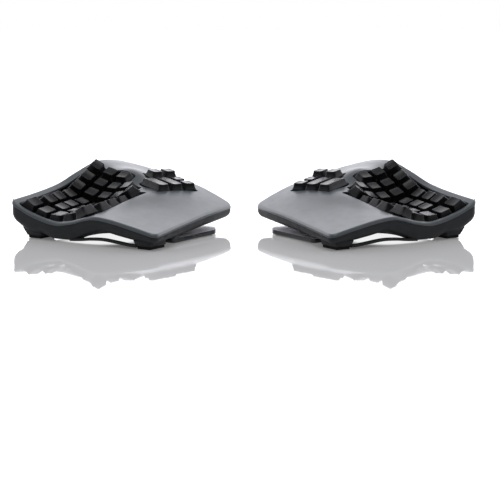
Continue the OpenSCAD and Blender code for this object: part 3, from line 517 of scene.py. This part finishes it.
def add(tree, kind, inputs=None, **settings):
    """Adds a node with its settings; inputs give a socket its value or its link."""
    new = tree.nodes.new(kind)
    for name, value in settings.items():
        setattr(new, name, value)
    for socket, value in (inputs or {}).items():
        if isinstance(value, bpy.types.NodeSocket):
            tree.links.new(value, new.inputs[socket])
        else:
            new.inputs[socket].default_value = value
    return new


def empty_material(name):
    """A new material, its emptied node tree and the piece's own coordinates."""
    material = bpy.data.materials.new(name)
    material.use_nodes = True
    tree = material.node_tree
    tree.nodes.clear()
    place = add(tree, "ShaderNodeTexCoord").outputs["Object"]
    return material, tree, place


def per_metre(millimetres):
    """Noise scale that gives spots of about this size."""
    return 1000 / millimetres


def shades(tree, factor, base, low, high):
    """Two shades of a base colour, mixed by a factor."""
    ramp = add(tree, "ShaderNodeValToRGB", {"Fac": factor})
    for stop, at, gain in zip(ramp.color_ramp.elements, (0.3, 0.7), (low, high)):
        stop.position = at
        stop.color = (*[min(1, c * gain) for c in base], 1)
    return ramp.outputs["Color"]


def moulded(name, base, rough, grain, depth, variation, sheen, polished=None, face=None):
    """Injection-moulded plastic or rubber: an even colour with faint flow clouds, a spark-eroded grain that
    breaks up the gloss, where an attribute says so a top that fingers have polished, and, where another colour
    is given, that colour painted on the upward faces as a painted sheen. The grain and its depth are in
    millimetres; real grain is finer, and is drawn this coarse so that it shows."""
    _, tree, place = empty_material(name)
    cloud, smudge, polish = 28, 9, 0.88
    clouds = add(tree, "ShaderNodeTexNoise", {
        "Vector": place, "Scale": per_metre(cloud), "Detail": 3}).outputs["Fac"]
    grit = add(tree, "ShaderNodeTexNoise", {
        "Vector": place, "Scale": per_metre(grain), "Detail": 2}).outputs["Fac"]
    smear = add(tree, "ShaderNodeTexNoise", {
        "Vector": place, "Scale": per_metre(smudge), "Detail": 4}).outputs["Fac"]
    roughness = add(tree, "ShaderNodeMapRange", {"Value": smear, "From Min": 0.3, "From Max": 0.7,
                                                 "To Min": rough[0], "To Max": rough[1]}).outputs["Result"]
    if polished:
        worn = add(tree, "ShaderNodeAttribute", attribute_name=polished).outputs["Fac"]
        gloss = add(tree, "ShaderNodeMapRange", {"Value": worn, "To Min": 1.0, "To Max": polish}).outputs["Result"]
        roughness = add(tree, "ShaderNodeMath", {0: roughness, 1: gloss}, operation="MULTIPLY").outputs[0]
    relief = add(tree, "ShaderNodeBump", {"Height": grit, "Distance": depth / 1000, "Strength": 0.6})
    surface = {"Roughness": roughness, "Specular IOR Level": sheen, "Normal": relief.outputs["Normal"]}
    tone = shades(tree, clouds, base, 1 - variation, 1 + variation)
    shader = add(tree, "ShaderNodeBsdfPrincipled", {"Base Color": tone, **surface})
    # Painted sheen: the second colour is painted on upward faces, in place of the reflection that a low view
    # catches there.
    if face:
        own = add(tree, "ShaderNodeTexCoord").outputs["Normal"]
        upward = add(tree, "ShaderNodeSeparateXYZ", {0: own}).outputs["Z"]
        share = add(tree, "ShaderNodeMapRange", {"Value": upward, "From Min": 0.8,
                                                 "From Max": 0.95}).outputs["Result"]
        tone = shades(tree, clouds, face, 1 - variation, 1 + variation)
        painted_sheen = add(tree, "ShaderNodeBsdfPrincipled", {"Base Color": tone, **surface})
        shader = add(tree, "ShaderNodeMixShader", {0: share, 1: shader.outputs["BSDF"], 2: painted_sheen.outputs["BSDF"]})
    add(tree, "ShaderNodeOutputMaterial", {"Surface": shader.outputs[0]})


def brushed_steel(name, base):
    """Drawn steel: bright, with lines along the drawing direction that stretch the highlights. They are coarser
    than real ones, so that they show."""
    _, tree, place = empty_material(name)
    stretched = add(tree, "ShaderNodeMapping", {"Vector": place, "Scale": (1, 1, 14)}).outputs["Vector"]
    lines = add(tree, "ShaderNodeTexNoise", {
        "Vector": stretched, "Scale": per_metre(2.5), "Detail": 3}).outputs["Fac"]
    roughness = add(tree, "ShaderNodeMapRange", {"Value": lines, "To Min": 0.24, "To Max": 0.42}).outputs["Result"]
    relief = add(tree, "ShaderNodeBump", {"Height": lines, "Distance": 0.00002, "Strength": 0.5})
    shader = add(tree, "ShaderNodeBsdfPrincipled", {
        "Base Color": shades(tree, lines, base, 0.9, 1.05), "Metallic": 1.0, "Roughness": roughness,
        "Normal": relief.outputs["Normal"]})
    add(tree, "ShaderNodeOutputMaterial", {"Surface": shader.outputs["BSDF"]})


def solder_mask(name, base):
    """Lacquered board: glossy green, paler where copper lies under it in runs about 1.6 mm apart."""
    _, tree, place = empty_material(name)
    runs = add(tree, "ShaderNodeTexBrick", {"Vector": place, "Scale": per_metre(6.4), "Mortar Size": 0.012,
                                            "Brick Width": 0.9, "Row Height": 0.25}).outputs["Fac"]
    shader = add(tree, "ShaderNodeBsdfPrincipled", {
        "Base Color": shades(tree, runs, base, 0.9, 1.6), "Roughness": 0.28,
        "Normal": add(tree, "ShaderNodeBump", {"Height": runs, "Distance": 0.00003}).outputs["Normal"]})
    add(tree, "ShaderNodeOutputMaterial", {"Surface": shader.outputs["BSDF"]})


def foil_pouch(name, base):
    """Laminated foil: soft metal shine with shallow crumples about 6 mm across."""
    _, tree, place = empty_material(name)
    folds = add(tree, "ShaderNodeTexNoise", {"Vector": place, "Scale": per_metre(6), "Detail": 4}).outputs["Fac"]
    shader = add(tree, "ShaderNodeBsdfPrincipled", {
        "Base Color": shades(tree, folds, base, 0.92, 1.05), "Metallic": 0.8, "Roughness": 0.4,
        "Normal": add(tree, "ShaderNodeBump", {"Height": folds, "Distance": 0.0004}).outputs["Normal"]})
    add(tree, "ShaderNodeOutputMaterial", {"Surface": shader.outputs["BSDF"]})


def finishes(colours):
    """Every finish of the keyboard by its slot, made once."""
    if FINISH["case_grey"] not in bpy.data.materials:
        # Satin ABS: light spreads in a broad soft sheen over the palm rest and dies off at the rim.
        moulded(FINISH["case_grey"], colours.case_grey, rough=(0.32, 0.37), grain=0.9, depth=0.016,
                variation=0.03, sheen=0.6)
        # Spark-eroded charcoal ABS: duller than the upper case, with a coarser grain.
        moulded(FINISH["charcoal"], colours.charcoal, rough=(0.46, 0.58), grain=1.2, depth=0.05,
                variation=0.08, sheen=0.3)
        # Key cap ABS: near black, its dished top polished by fingers to a soft satin.
        moulded(FINISH["key_cap"], colours.key_cap, rough=(0.26, 0.33), grain=0.8, depth=0.008,
                variation=0.06, sheen=0.3, polished="touch")
        # Smooth ABS of the stand: charcoal edges, and upward faces painted pale lavender as a painted reflection
        # of the bright back.
        moulded(FINISH["stand"], colours.charcoal, rough=(0.1, 0.16), grain=1.6, depth=0.006,
                variation=0.04, sheen=0.6, face=colours.stand_painted_sheen)
        # Glass-filled nylon: matt black that swallows the light between the keys.
        moulded(FINISH["well_black"], colours.well_black, rough=(0.62, 0.75), grain=1.0, depth=0.03,
                variation=0.1, sheen=0.3)
        # Moulded rubber: almost without gloss, faintly powdery.
        moulded(FINISH["rubber"], colours.rubber, rough=(0.75, 0.9), grain=0.7, depth=0.05,
                variation=0.12, sheen=0.25)
        brushed_steel(FINISH["steel"], colours.steel)
        solder_mask(FINISH["circuit"], colours.circuit)
        foil_pouch(FINISH["battery_foil"], colours.foil)
    return {slot: bpy.data.materials[name] for slot, name in FINISH.items()}


def finish_nodes(names, material, round_edges=0.0):
    """Gives CAD solids of both halves their finish, and rounds their edges a little."""
    for side in SIDES:
        for name in names:
            solid = frame["nodes"][f"{side}_{name}"]
            for held in solid.material_slots:
                held.material = material
            if round_edges:
                weld = solid.modifiers.new("Weld", "WELD")
                weld.merge_threshold = NODE_WELD
                edges = solid.modifiers.new("Edges", "BEVEL")
                edges.width = round_edges
                edges.segments = 3
                edges.limit_method = "ANGLE"
                edges.angle_limit = math.radians(NODE_ANGLE)


class KEYBOARD_OT_upper_cases(bpy.types.Operator):
    """Model the two upper cases with palm rest, ridge, openings and rolled rim"""

    bl_idname = "keyboard.upper_cases"
    bl_label = "Upper Cases"

    def execute(self, context):
        sizes = context.scene.keyboard_sizes
        r, rim, wall = sizes.edge_round * 1000, sizes.rim * 1000, sizes.wall * 1000

        def surface(gx, gy):
            x, y = plan_point(gx, gy, 0)
            d = min(gx, WIDTH - gx, gy, DEPTH - gy)
            return x, y, top_z(x, y) - edge_drop(r, d)

        lines = sizes.surface_lines
        case = curved_sheet("upper_case", grid_lines(WIDTH, lines), grid_lines(DEPTH, lines), surface)
        pull_edge(case, lambda p: p.z - (rim - r))
        modify(case, "SOLIDIFY", thickness=wall, offset=-1)
        turn = Matrix.Translation(THUMB_AT) @ turned("Z", THUMB_TURN)
        thumb_line = [turn @ Vector((*p, 0)) for p in softened(THUMB_EDGE, THUMB_CORNER)]
        cut(case, [prism(softened(WELL_EDGE, WELL_CORNER), *CUT_Z)])
        cut(case, [prism(thumb_line, *CUT_Z)])
        modify(case, "WELD", merge_threshold=RIM_WELD)
        modify(case, "BEVEL", width=sizes.edge_break * 1000, segments=3, limit_method="ANGLE",
               angle_limit=math.radians(RIM_ANGLE), use_clamp_overlap=False)
        keep_to_plan(case)
        bosses = []
        for x, y, z in CASE_POSTS:
            end = top_z(x, y) - BOSS_GAP
            bosses.append(drum((x, y, (z + end) / 2), BOSS_R, end - z))
        join(case, bosses)
        smooth(case, CASE_SMOOTH)
        material = finishes(context.scene.keyboard_colours)["case_grey"]
        for side in SIDES:
            put(case, side, "upper_case", f"{side}_half", material, [f"{side}_top_case"])
        bpy.data.objects.remove(case)
        return {"FINISHED"}


class KEYBOARD_OT_lower_cases(bpy.types.Operator):
    """Model the two lower cases with arch, belly, foot blocks, screw posts and sockets"""

    bl_idname = "keyboard.lower_cases"
    bl_label = "Lower Cases"

    def execute(self, context):
        sizes = context.scene.keyboard_sizes
        wall, rim, hull = sizes.wall * 1000, sizes.rim * 1000, sizes.hull_round * 1000
        w, d = WIDTH - 2 * RIM_STEP, DEPTH - 2 * RIM_STEP

        def underside(gx, gy):
            x, y = plan_point(gx, gy, RIM_STEP)
            return x, y, under_z(x, y) + hull_rise(x, y, min(gx, w - gx, gy, d - gy), hull, rim)

        lines = sizes.surface_lines
        case = curved_sheet("lower_case", grid_lines(w, lines), grid_lines(d, lines), underside)
        only(case)
        bpy.ops.object.mode_set(mode="EDIT")
        bpy.ops.mesh.select_all(action="SELECT")
        bpy.ops.mesh.flip_normals()
        bpy.ops.object.mode_set(mode="OBJECT")
        pull_edge(case, lambda p: max(p.z + LEAST_WALL, top_z(p.x, p.y) - rim - PARTING))
        modify(case, "SOLIDIFY", thickness=wall, offset=-1, use_even_offset=True)
        posts = CASE_POSTS + WELL_POSTS
        bores = [drum((x, y, BORE_MIDDLE), BORE_R, BORE_LENGTH) for x, y, z in posts]
        cut(case, bores + [block(a, b) for a, b in SOCKETS])
        parts = []
        for x, y, z in posts:
            low = under_z(x, y)
            tube = drum((x, y, (low + POST_LIFT + z) / 2), POST_R, z - low - POST_LIFT)
            parts.append(bored(tube, z - POST_ROOF - low))
        for (low, high), outline in FOOT_BLOCKS:
            parts.append(slab(outline, low, high, FOOT_ROUND))
        start, run = RAIL[0][0], RAIL[-1][0] - RAIL[0][0]
        line = [(start + run * i / RAIL_STEPS, along(RAIL, i / RAIL_STEPS)) for i in range(RAIL_STEPS + 1)]
        parts.append(slab([(y, z - RAIL_H) for y, z in line] + line[::-1], *RAIL_X, RAIL_ROUND))
        for y in HINGE_Y:
            web_top = under_z(HINGE_X, y) + WEB_SINK
            for at in (y - LUG_OUT, y + LUG_OUT):
                lug = drum((HINGE_X, at, HINGE_Z), LUG_R, LUG_W, (90, 0, 0))
                web = block((HINGE_X - LUG_R, at - LUG_W / 2, HINGE_Z),
                            (HINGE_X + LUG_R, at + LUG_W / 2, web_top), WEB_ROUND)
                parts += [lug, web]
        join(case, parts)
        smooth(case, CASE_SMOOTH)
        material = finishes(context.scene.keyboard_colours)["charcoal"]
        for side in SIDES:
            put(case, side, "lower_case", f"{side}_half", material, [f"{side}_bottom_case"])
        bpy.data.objects.remove(case)
        return {"FINISHED"}


def cap_ring(w, l, r, z, sag):
    """Rounded rectangle at one height, lower by sag in the middle of its width."""
    points = []
    for k in range(4):
        cx = (w / 2 - r) * (1 if k in (0, 3) else -1)
        cy = (l / 2 - r) * (1 if k in (0, 1) else -1)
        for i in range(RING_CORNER + 1):
            a = math.pi / 2 * (k + i / RING_CORNER)
            points.append(Vector((cx + r * math.cos(a), cy + r * math.sin(a), z)))
        a = math.pi / 2 * (k + 1)
        start = points[-1].copy()
        across = Vector((-math.sin(a), math.cos(a), 0)) * 2 * ((w / 2 - r) if k % 2 == 0 else (l / 2 - r))
        points += [start + across * i / RING_SIDE for i in range(1, RING_SIDE)]
    for p in points:
        p.z -= sag * (1 - min(1, (2 * p.x / w) ** 2))
    return points


def cap_rings(w, l, h, taper, dish, edge):
    """Rings of a key cap: down its hollow, out to its foot, up its flared sides, over its edge and its top."""
    top = CAP_BASE + h
    walls = 2 * CAP_WALL
    rings = [cap_ring(w - taper - walls, l - taper - walls, TOP_CORNER, top - CAP_ROOF, 0),
             cap_ring(w - walls, l - walls, MOUTH_CORNER, CAP_BASE + MOUTH_LIFT, 0),
             cap_ring(w - FOOT_INSET, l - FOOT_INSET, FOOT_CORNER, CAP_BASE, 0)]
    for t in CAP_SIDE:
        inset = taper * (1 - (1 - t) ** CAP_FLARE)
        corner = SIDE_CORNER + (EDGE_CORNER - SIDE_CORNER) * t
        rings.append(cap_ring(w - inset, l - inset, corner, CAP_BASE + h * t, dish * ease(DISH_FROM, 1, t)))
    for a in CAP_TURN:
        inset = taper + 2 * edge * (1 - math.cos(math.radians(a)))
        z = top - edge + edge * math.sin(math.radians(a))
        rings.append(cap_ring(w - inset, l - inset, EDGE_CORNER - EDGE_LOSS * a / 90, z, dish))
    top_w, top_l = w - taper - 2 * edge, l - taper - 2 * edge
    for share in CAP_TOP:
        ring = cap_ring(top_w * share, top_l * share, TOP_CORNER * share, top, 0)
        for p in ring:
            p.z -= dish * (1 - (2 * p.x / top_w) ** 2)
        rings.append(ring)
    return rings


def cap_model(name, w, l, h, sizes):
    """One key cap with flared sides, a rounded top edge, a dished top, its hollow underside and its stem."""
    taper, dish, edge = sizes.cap_taper * 1000, sizes.cap_dish * 1000, sizes.cap_edge * 1000
    top = CAP_BASE + h
    rings = cap_rings(w, l, h, taper, dish, edge)
    bpy.ops.object.select_all(action="DESELECT")
    bpy.ops.mesh.primitive_circle_add(vertices=len(rings[0]), radius=1, fill_type="NGON")
    cap = bpy.context.object
    cap.name = name
    for v, p in zip(cap.data.vertices, rings[0]):
        v.co = p
    bpy.ops.object.mode_set(mode="EDIT")
    bpy.ops.mesh.select_all(action="SELECT")
    bpy.ops.mesh.region_to_loop()
    for before, after in zip(rings, rings[1:]):
        bpy.ops.mesh.extrude_edges_move()
        mesh = bmesh.from_edit_mesh(cap.data)
        for v in mesh.verts:
            if v.select:
                v.co = after[min(range(len(before)), key=lambda i: (before[i] - v.co).length_squared)]
        bmesh.update_edit_mesh(cap.data)
    bpy.ops.mesh.edge_face_add()
    bpy.ops.mesh.select_all(action="SELECT")
    bpy.ops.mesh.normals_make_consistent(inside=False)
    bpy.ops.object.mode_set(mode="OBJECT")
    touch = cap.data.attributes.new("touch", "FLOAT", "POINT")
    for v in cap.data.vertices:
        touch.data[v.index].value = 1.0 if v.co.z > top - edge - dish + TOUCH_DEPTH else 0.0
    join(cap, [block((-STEM, -STEM, STEM_LOW), (STEM, STEM, top - STEM_SINK), STEM_ROUND)])
    smooth(cap, CAP_SMOOTH)
    return cap


def put_caps(side, node, placed, material):
    """One piece of copied key caps for a CAD node, riding on that node's body."""
    copies = []
    for model, place in placed:
        copy = model.copy()
        copy.data = model.data.copy()
        copy.data.transform(place)
        bpy.context.collection.objects.link(copy)
        copies.append(copy)
    caps = join(copies[0], copies[1:])
    name = f"{side}_{node}"
    put(caps, side, f"{node}_caps", body_of_node(name), material, [name])
    bpy.data.objects.remove(caps)


def body_of_node(name):
    """Body that a CAD node belongs to."""
    bodies = frame["record"]["behaviour"]["bodies"]
    return next(body for body, nodes in bodies.items() if name in nodes)


class KEYBOARD_OT_well_keys(bpy.types.Operator):
    """Model the key caps of the two key wells, row by row"""

    bl_idname = "keyboard.well_keys"
    bl_label = "Well Keys"

    def execute(self, context):
        sizes = context.scene.keyboard_sizes
        side_length = PITCH - sizes.cap_gap * 1000
        models = {(wide, extra): cap_model("cap", side_length + wide * PITCH, side_length, CAP_H + extra, sizes)
                  for wide in (0, WIDE_EXTRA) for extra in sorted(set(ROW_EXTRA))}
        material = finishes(context.scene.keyboard_colours)["key_cap"]
        for side in SIDES:
            for node, (row, columns) in WELL_ROWS.items():
                # The outermost column has the wider keys.
                placed = [(models[0 if c else WIDE_EXTRA, ROW_EXTRA[row]], key_frame(c, row)) for c in columns]
                put_caps(side, node, placed, material)
        for model in models.values():
            bpy.data.objects.remove(model)
        return {"FINISHED"}


class KEYBOARD_OT_thumb_keys(bpy.types.Operator):
    """Model the key caps of the two thumb clusters"""

    bl_idname = "keyboard.thumb_keys"
    bl_label = "Thumb Keys"

    def execute(self, context):
        sizes = context.scene.keyboard_sizes
        gap = sizes.cap_gap * 1000
        models = {k: cap_model("thumb_cap", PITCH - gap, k * PITCH - gap, CAP_H, sizes) for k in (1, 2)}
        material = finishes(context.scene.keyboard_colours)["key_cap"]
        for side in SIDES:
            for node, keys in THUMB_GROUPS.items():
                placed = []
                for x, y, long, lift in (THUMB_KEYS[i] for i in keys):
                    at = Matrix.Translation((x * PITCH - gap / 2, y * PITCH - gap / 2, lift))
                    placed.append((models[long], thumb_frame() @ at))
                put_caps(side, node, placed, material)
        for model in models.values():
            bpy.data.objects.remove(model)
        return {"FINISHED"}


class KEYBOARD_OT_wells(bpy.types.Operator):
    """Finish the key wells, the thumb plates and the switches under the keys"""

    bl_idname = "keyboard.wells"
    bl_label = "Wells and Switches"

    def execute(self, context):
        look = finishes(context.scene.keyboard_colours)
        finish_nodes(("key_well", "thumb_plate", "switch_housings"), look["well_black"])
        return {"FINISHED"}


class KEYBOARD_OT_stands(bpy.types.Operator):
    """Finish the tent stands with their pins, and the rubber feet and pads"""

    bl_idname = "keyboard.stands"
    bl_label = "Stands and Feet"

    def execute(self, context):
        look = finishes(context.scene.keyboard_colours)
        finish_nodes(("stand",), look["stand"], STAND_ROUND)
        finish_nodes(("rubber_feet",), look["rubber"], STAND_ROUND)
        finish_nodes(("stand_pads",), look["rubber"], PAD_ROUND)
        finish_nodes(("hinge_pins",), look["steel"], PAD_ROUND)
        return {"FINISHED"}


class KEYBOARD_OT_fittings(bpy.types.Operator):
    """Finish the boards, batteries, sockets, power sliders and screws"""

    bl_idname = "keyboard.fittings"
    bl_label = "Boards and Fittings"

    def execute(self, context):
        look = finishes(context.scene.keyboard_colours)
        finish_nodes(("circuit_boards", "controller_board"), look["circuit"])
        finish_nodes(("battery",), look["battery_foil"], BATTERY_ROUND)
        finish_nodes(("usb_socket",), look["steel"], SOCKET_ROUND)
        finish_nodes(("case_screws",), look["steel"], SCREW_ROUND)
        finish_nodes(("power_slider",), look["well_black"], PAD_ROUND)
        return {"FINISHED"}


def acrylic_sheet(name):
    """White acrylic on a light table: bright, with a dim mirror image of what stands on it. To the camera it also
    has a painted glow in a patch under each half, only where a half covers it, which paints out the shadow there
    so that the gap under the arch is white."""
    material, tree, place = empty_material(name)
    sheet = add(tree, "ShaderNodeBsdfPrincipled", {
        "Base Color": (0.66, 0.66, 0.66, 1), "Roughness": 0.03, "IOR": 1.55,
        "Emission Color": (1, 1, 1, 1), "Emission Strength": 0.12})
    level = add(tree, "ShaderNodeVectorMath", {0: place, 1: (0, -PAINTED_GLOW_Y, 0)}, operation="ADD").outputs[0]
    aside = add(tree, "ShaderNodeVectorMath", {0: level}, operation="ABSOLUTE").outputs[0]
    away = add(tree, "ShaderNodeVectorMath", {0: aside, 1: (PAINTED_GLOW_X, 0, 0)}, operation="DISTANCE").outputs["Value"]
    # Painted glow: to the camera, the floor under each half is white where the half's shadow falls.
    patch = add(tree, "ShaderNodeMapRange", {
        "Value": away, "From Min": PAINTED_GLOW_NEAR, "From Max": PAINTED_GLOW_FAR, "To Min": PAINTED_GLOW_SHARE, "To Max": 0.0},
        interpolation_type="SMOOTHSTEP").outputs["Result"]
    open_sky = add(tree, "ShaderNodeAmbientOcclusion", {"Distance": COVER_REACH}, samples=12).outputs["AO"]
    covered = add(tree, "ShaderNodeMapRange", {
        "Value": open_sky, "From Min": COVER_FULL, "From Max": COVER_NONE, "To Min": 1.0,
        "To Max": 0.0}).outputs["Result"]
    under = add(tree, "ShaderNodeMath", {0: patch, 1: covered}, operation="MULTIPLY").outputs[0]
    seen = add(tree, "ShaderNodeLightPath").outputs["Is Camera Ray"]
    share = add(tree, "ShaderNodeMath", {0: under, 1: seen}, operation="MULTIPLY").outputs[0]
    glow = add(tree, "ShaderNodeEmission", {"Color": (1, 1, 1, 1), "Strength": 1.0})
    shader = add(tree, "ShaderNodeMixShader", {0: share, 1: sheet.outputs["BSDF"], 2: glow.outputs["Emission"]})
    add(tree, "ShaderNodeOutputMaterial", {"Surface": shader.outputs["Shader"]})
    return material


def studio_world(name):
    """White to the camera. For all other rays a soft studio: dim in front, with a bright band low at the back."""
    world = bpy.data.worlds.new(name)
    world.use_nodes = True
    tree = world.node_tree
    tree.nodes.clear()
    ahead = add(tree, "ShaderNodeSeparateXYZ", {0: add(tree, "ShaderNodeTexCoord").outputs["Generated"]})
    band = add(tree, "ShaderNodeMapRange", {
        "Value": ahead.outputs["Z"], "From Min": BAND_Z, "From Max": HIGH_Z, "To Min": BAND_LIGHT,
        "To Max": HIGH_LIGHT}).outputs["Result"]
    light = add(tree, "ShaderNodeMapRange", {
        "Value": ahead.outputs["Y"], "From Min": FRONT_Y, "From Max": BACK_Y, "To Min": FRONT_LIGHT,
        "To Max": band}).outputs["Result"]
    studio = add(tree, "ShaderNodeBackground", {"Color": (0.95, 0.95, 1, 1), "Strength": light})
    white = add(tree, "ShaderNodeBackground", {"Color": (1, 1, 1, 1), "Strength": 1.0})
    seen = add(tree, "ShaderNodeLightPath").outputs["Is Camera Ray"]
    sky = add(tree, "ShaderNodeMixShader", {0: seen, 1: studio.outputs["Background"],
                                            2: white.outputs["Background"]})
    add(tree, "ShaderNodeOutputWorld", {"Surface": sky.outputs["Shader"]})
    return world


class KEYBOARD_OT_stage(bpy.types.Operator):
    """Set the white floor, the soft light and the camera"""

    bl_idname = "keyboard.stage"
    bl_label = "Stage"

    def execute(self, context):
        scene = context.scene
        bpy.ops.object.select_all(action="DESELECT")
        bpy.ops.mesh.primitive_plane_add(size=FLOOR_SIZE, location=(0, 0, FLOOR_Z))
        floor = context.object
        floor.name = "floor"
        floor.data.materials.append(acrylic_sheet("White acrylic sheet"))
        scene.world = studio_world("White studio")
        lamp = bpy.data.lights.new("softbox above", "SUN")
        lamp.energy = LAMP_POWER
        lamp.angle = math.radians(LAMP_SPREAD)
        holder = bpy.data.objects.new("softbox above", lamp)
        holder.rotation_euler = (math.radians(LAMP_TILT), 0, 0)
        scene.collection.objects.link(holder)
        camera = bpy.data.objects.new("camera", bpy.data.cameras.new("camera"))
        camera.data.lens = CAMERA_LENS
        camera.data.sensor_width = CAMERA_SENSOR
        camera.location = CAMERA_AT
        camera.rotation_euler = (math.radians(CAMERA_TILT), 0, 0)
        scene.collection.objects.link(camera)
        scene.camera = camera
        scene.view_settings.view_transform = "Standard"
        return {"FINISHED"}


class KEYBOARD_PT_panel(bpy.types.Panel):
    """Lists the keyboard's pieces and their sizes"""

    bl_idname = "KEYBOARD_PT_panel"
    bl_label = "Split Keyboard"
    bl_space_type = "VIEW_3D"
    bl_region_type = "UI"
    bl_category = "Keyboard"

    def draw(self, context):
        layout = self.layout
        for operator in OPERATORS:
            layout.operator(operator.bl_idname)
        for group in (context.scene.keyboard_sizes, context.scene.keyboard_colours):
            box = layout.box()
            for name in group.bl_rna.properties.keys():
                if name not in ("rna_type", "name"):
                    box.prop(group, name)


OPERATORS = (KEYBOARD_OT_upper_cases, KEYBOARD_OT_lower_cases, KEYBOARD_OT_well_keys, KEYBOARD_OT_thumb_keys,
             KEYBOARD_OT_wells, KEYBOARD_OT_stands, KEYBOARD_OT_fittings, KEYBOARD_OT_stage)
CLASSES = (KeyboardSizes, KeyboardColours, *OPERATORS, KEYBOARD_PT_panel)


def register():
    for cls in CLASSES:
        bpy.utils.register_class(cls)
    bpy.types.Scene.keyboard_sizes = PointerProperty(type=KeyboardSizes)
    bpy.types.Scene.keyboard_colours = PointerProperty(type=KeyboardColours)


def unregister():
    del bpy.types.Scene.keyboard_colours
    del bpy.types.Scene.keyboard_sizes
    for cls in reversed(CLASSES):
        bpy.utils.unregister_class(cls)


def main():
    register()
    bpy.ops.keyboard.upper_cases()
    bpy.ops.keyboard.lower_cases()
    bpy.ops.keyboard.well_keys()
    bpy.ops.keyboard.thumb_keys()
    bpy.ops.keyboard.wells()
    bpy.ops.keyboard.stands()
    bpy.ops.keyboard.fittings()
    bpy.ops.keyboard.stage()


if __name__ == "__main__":
    main()
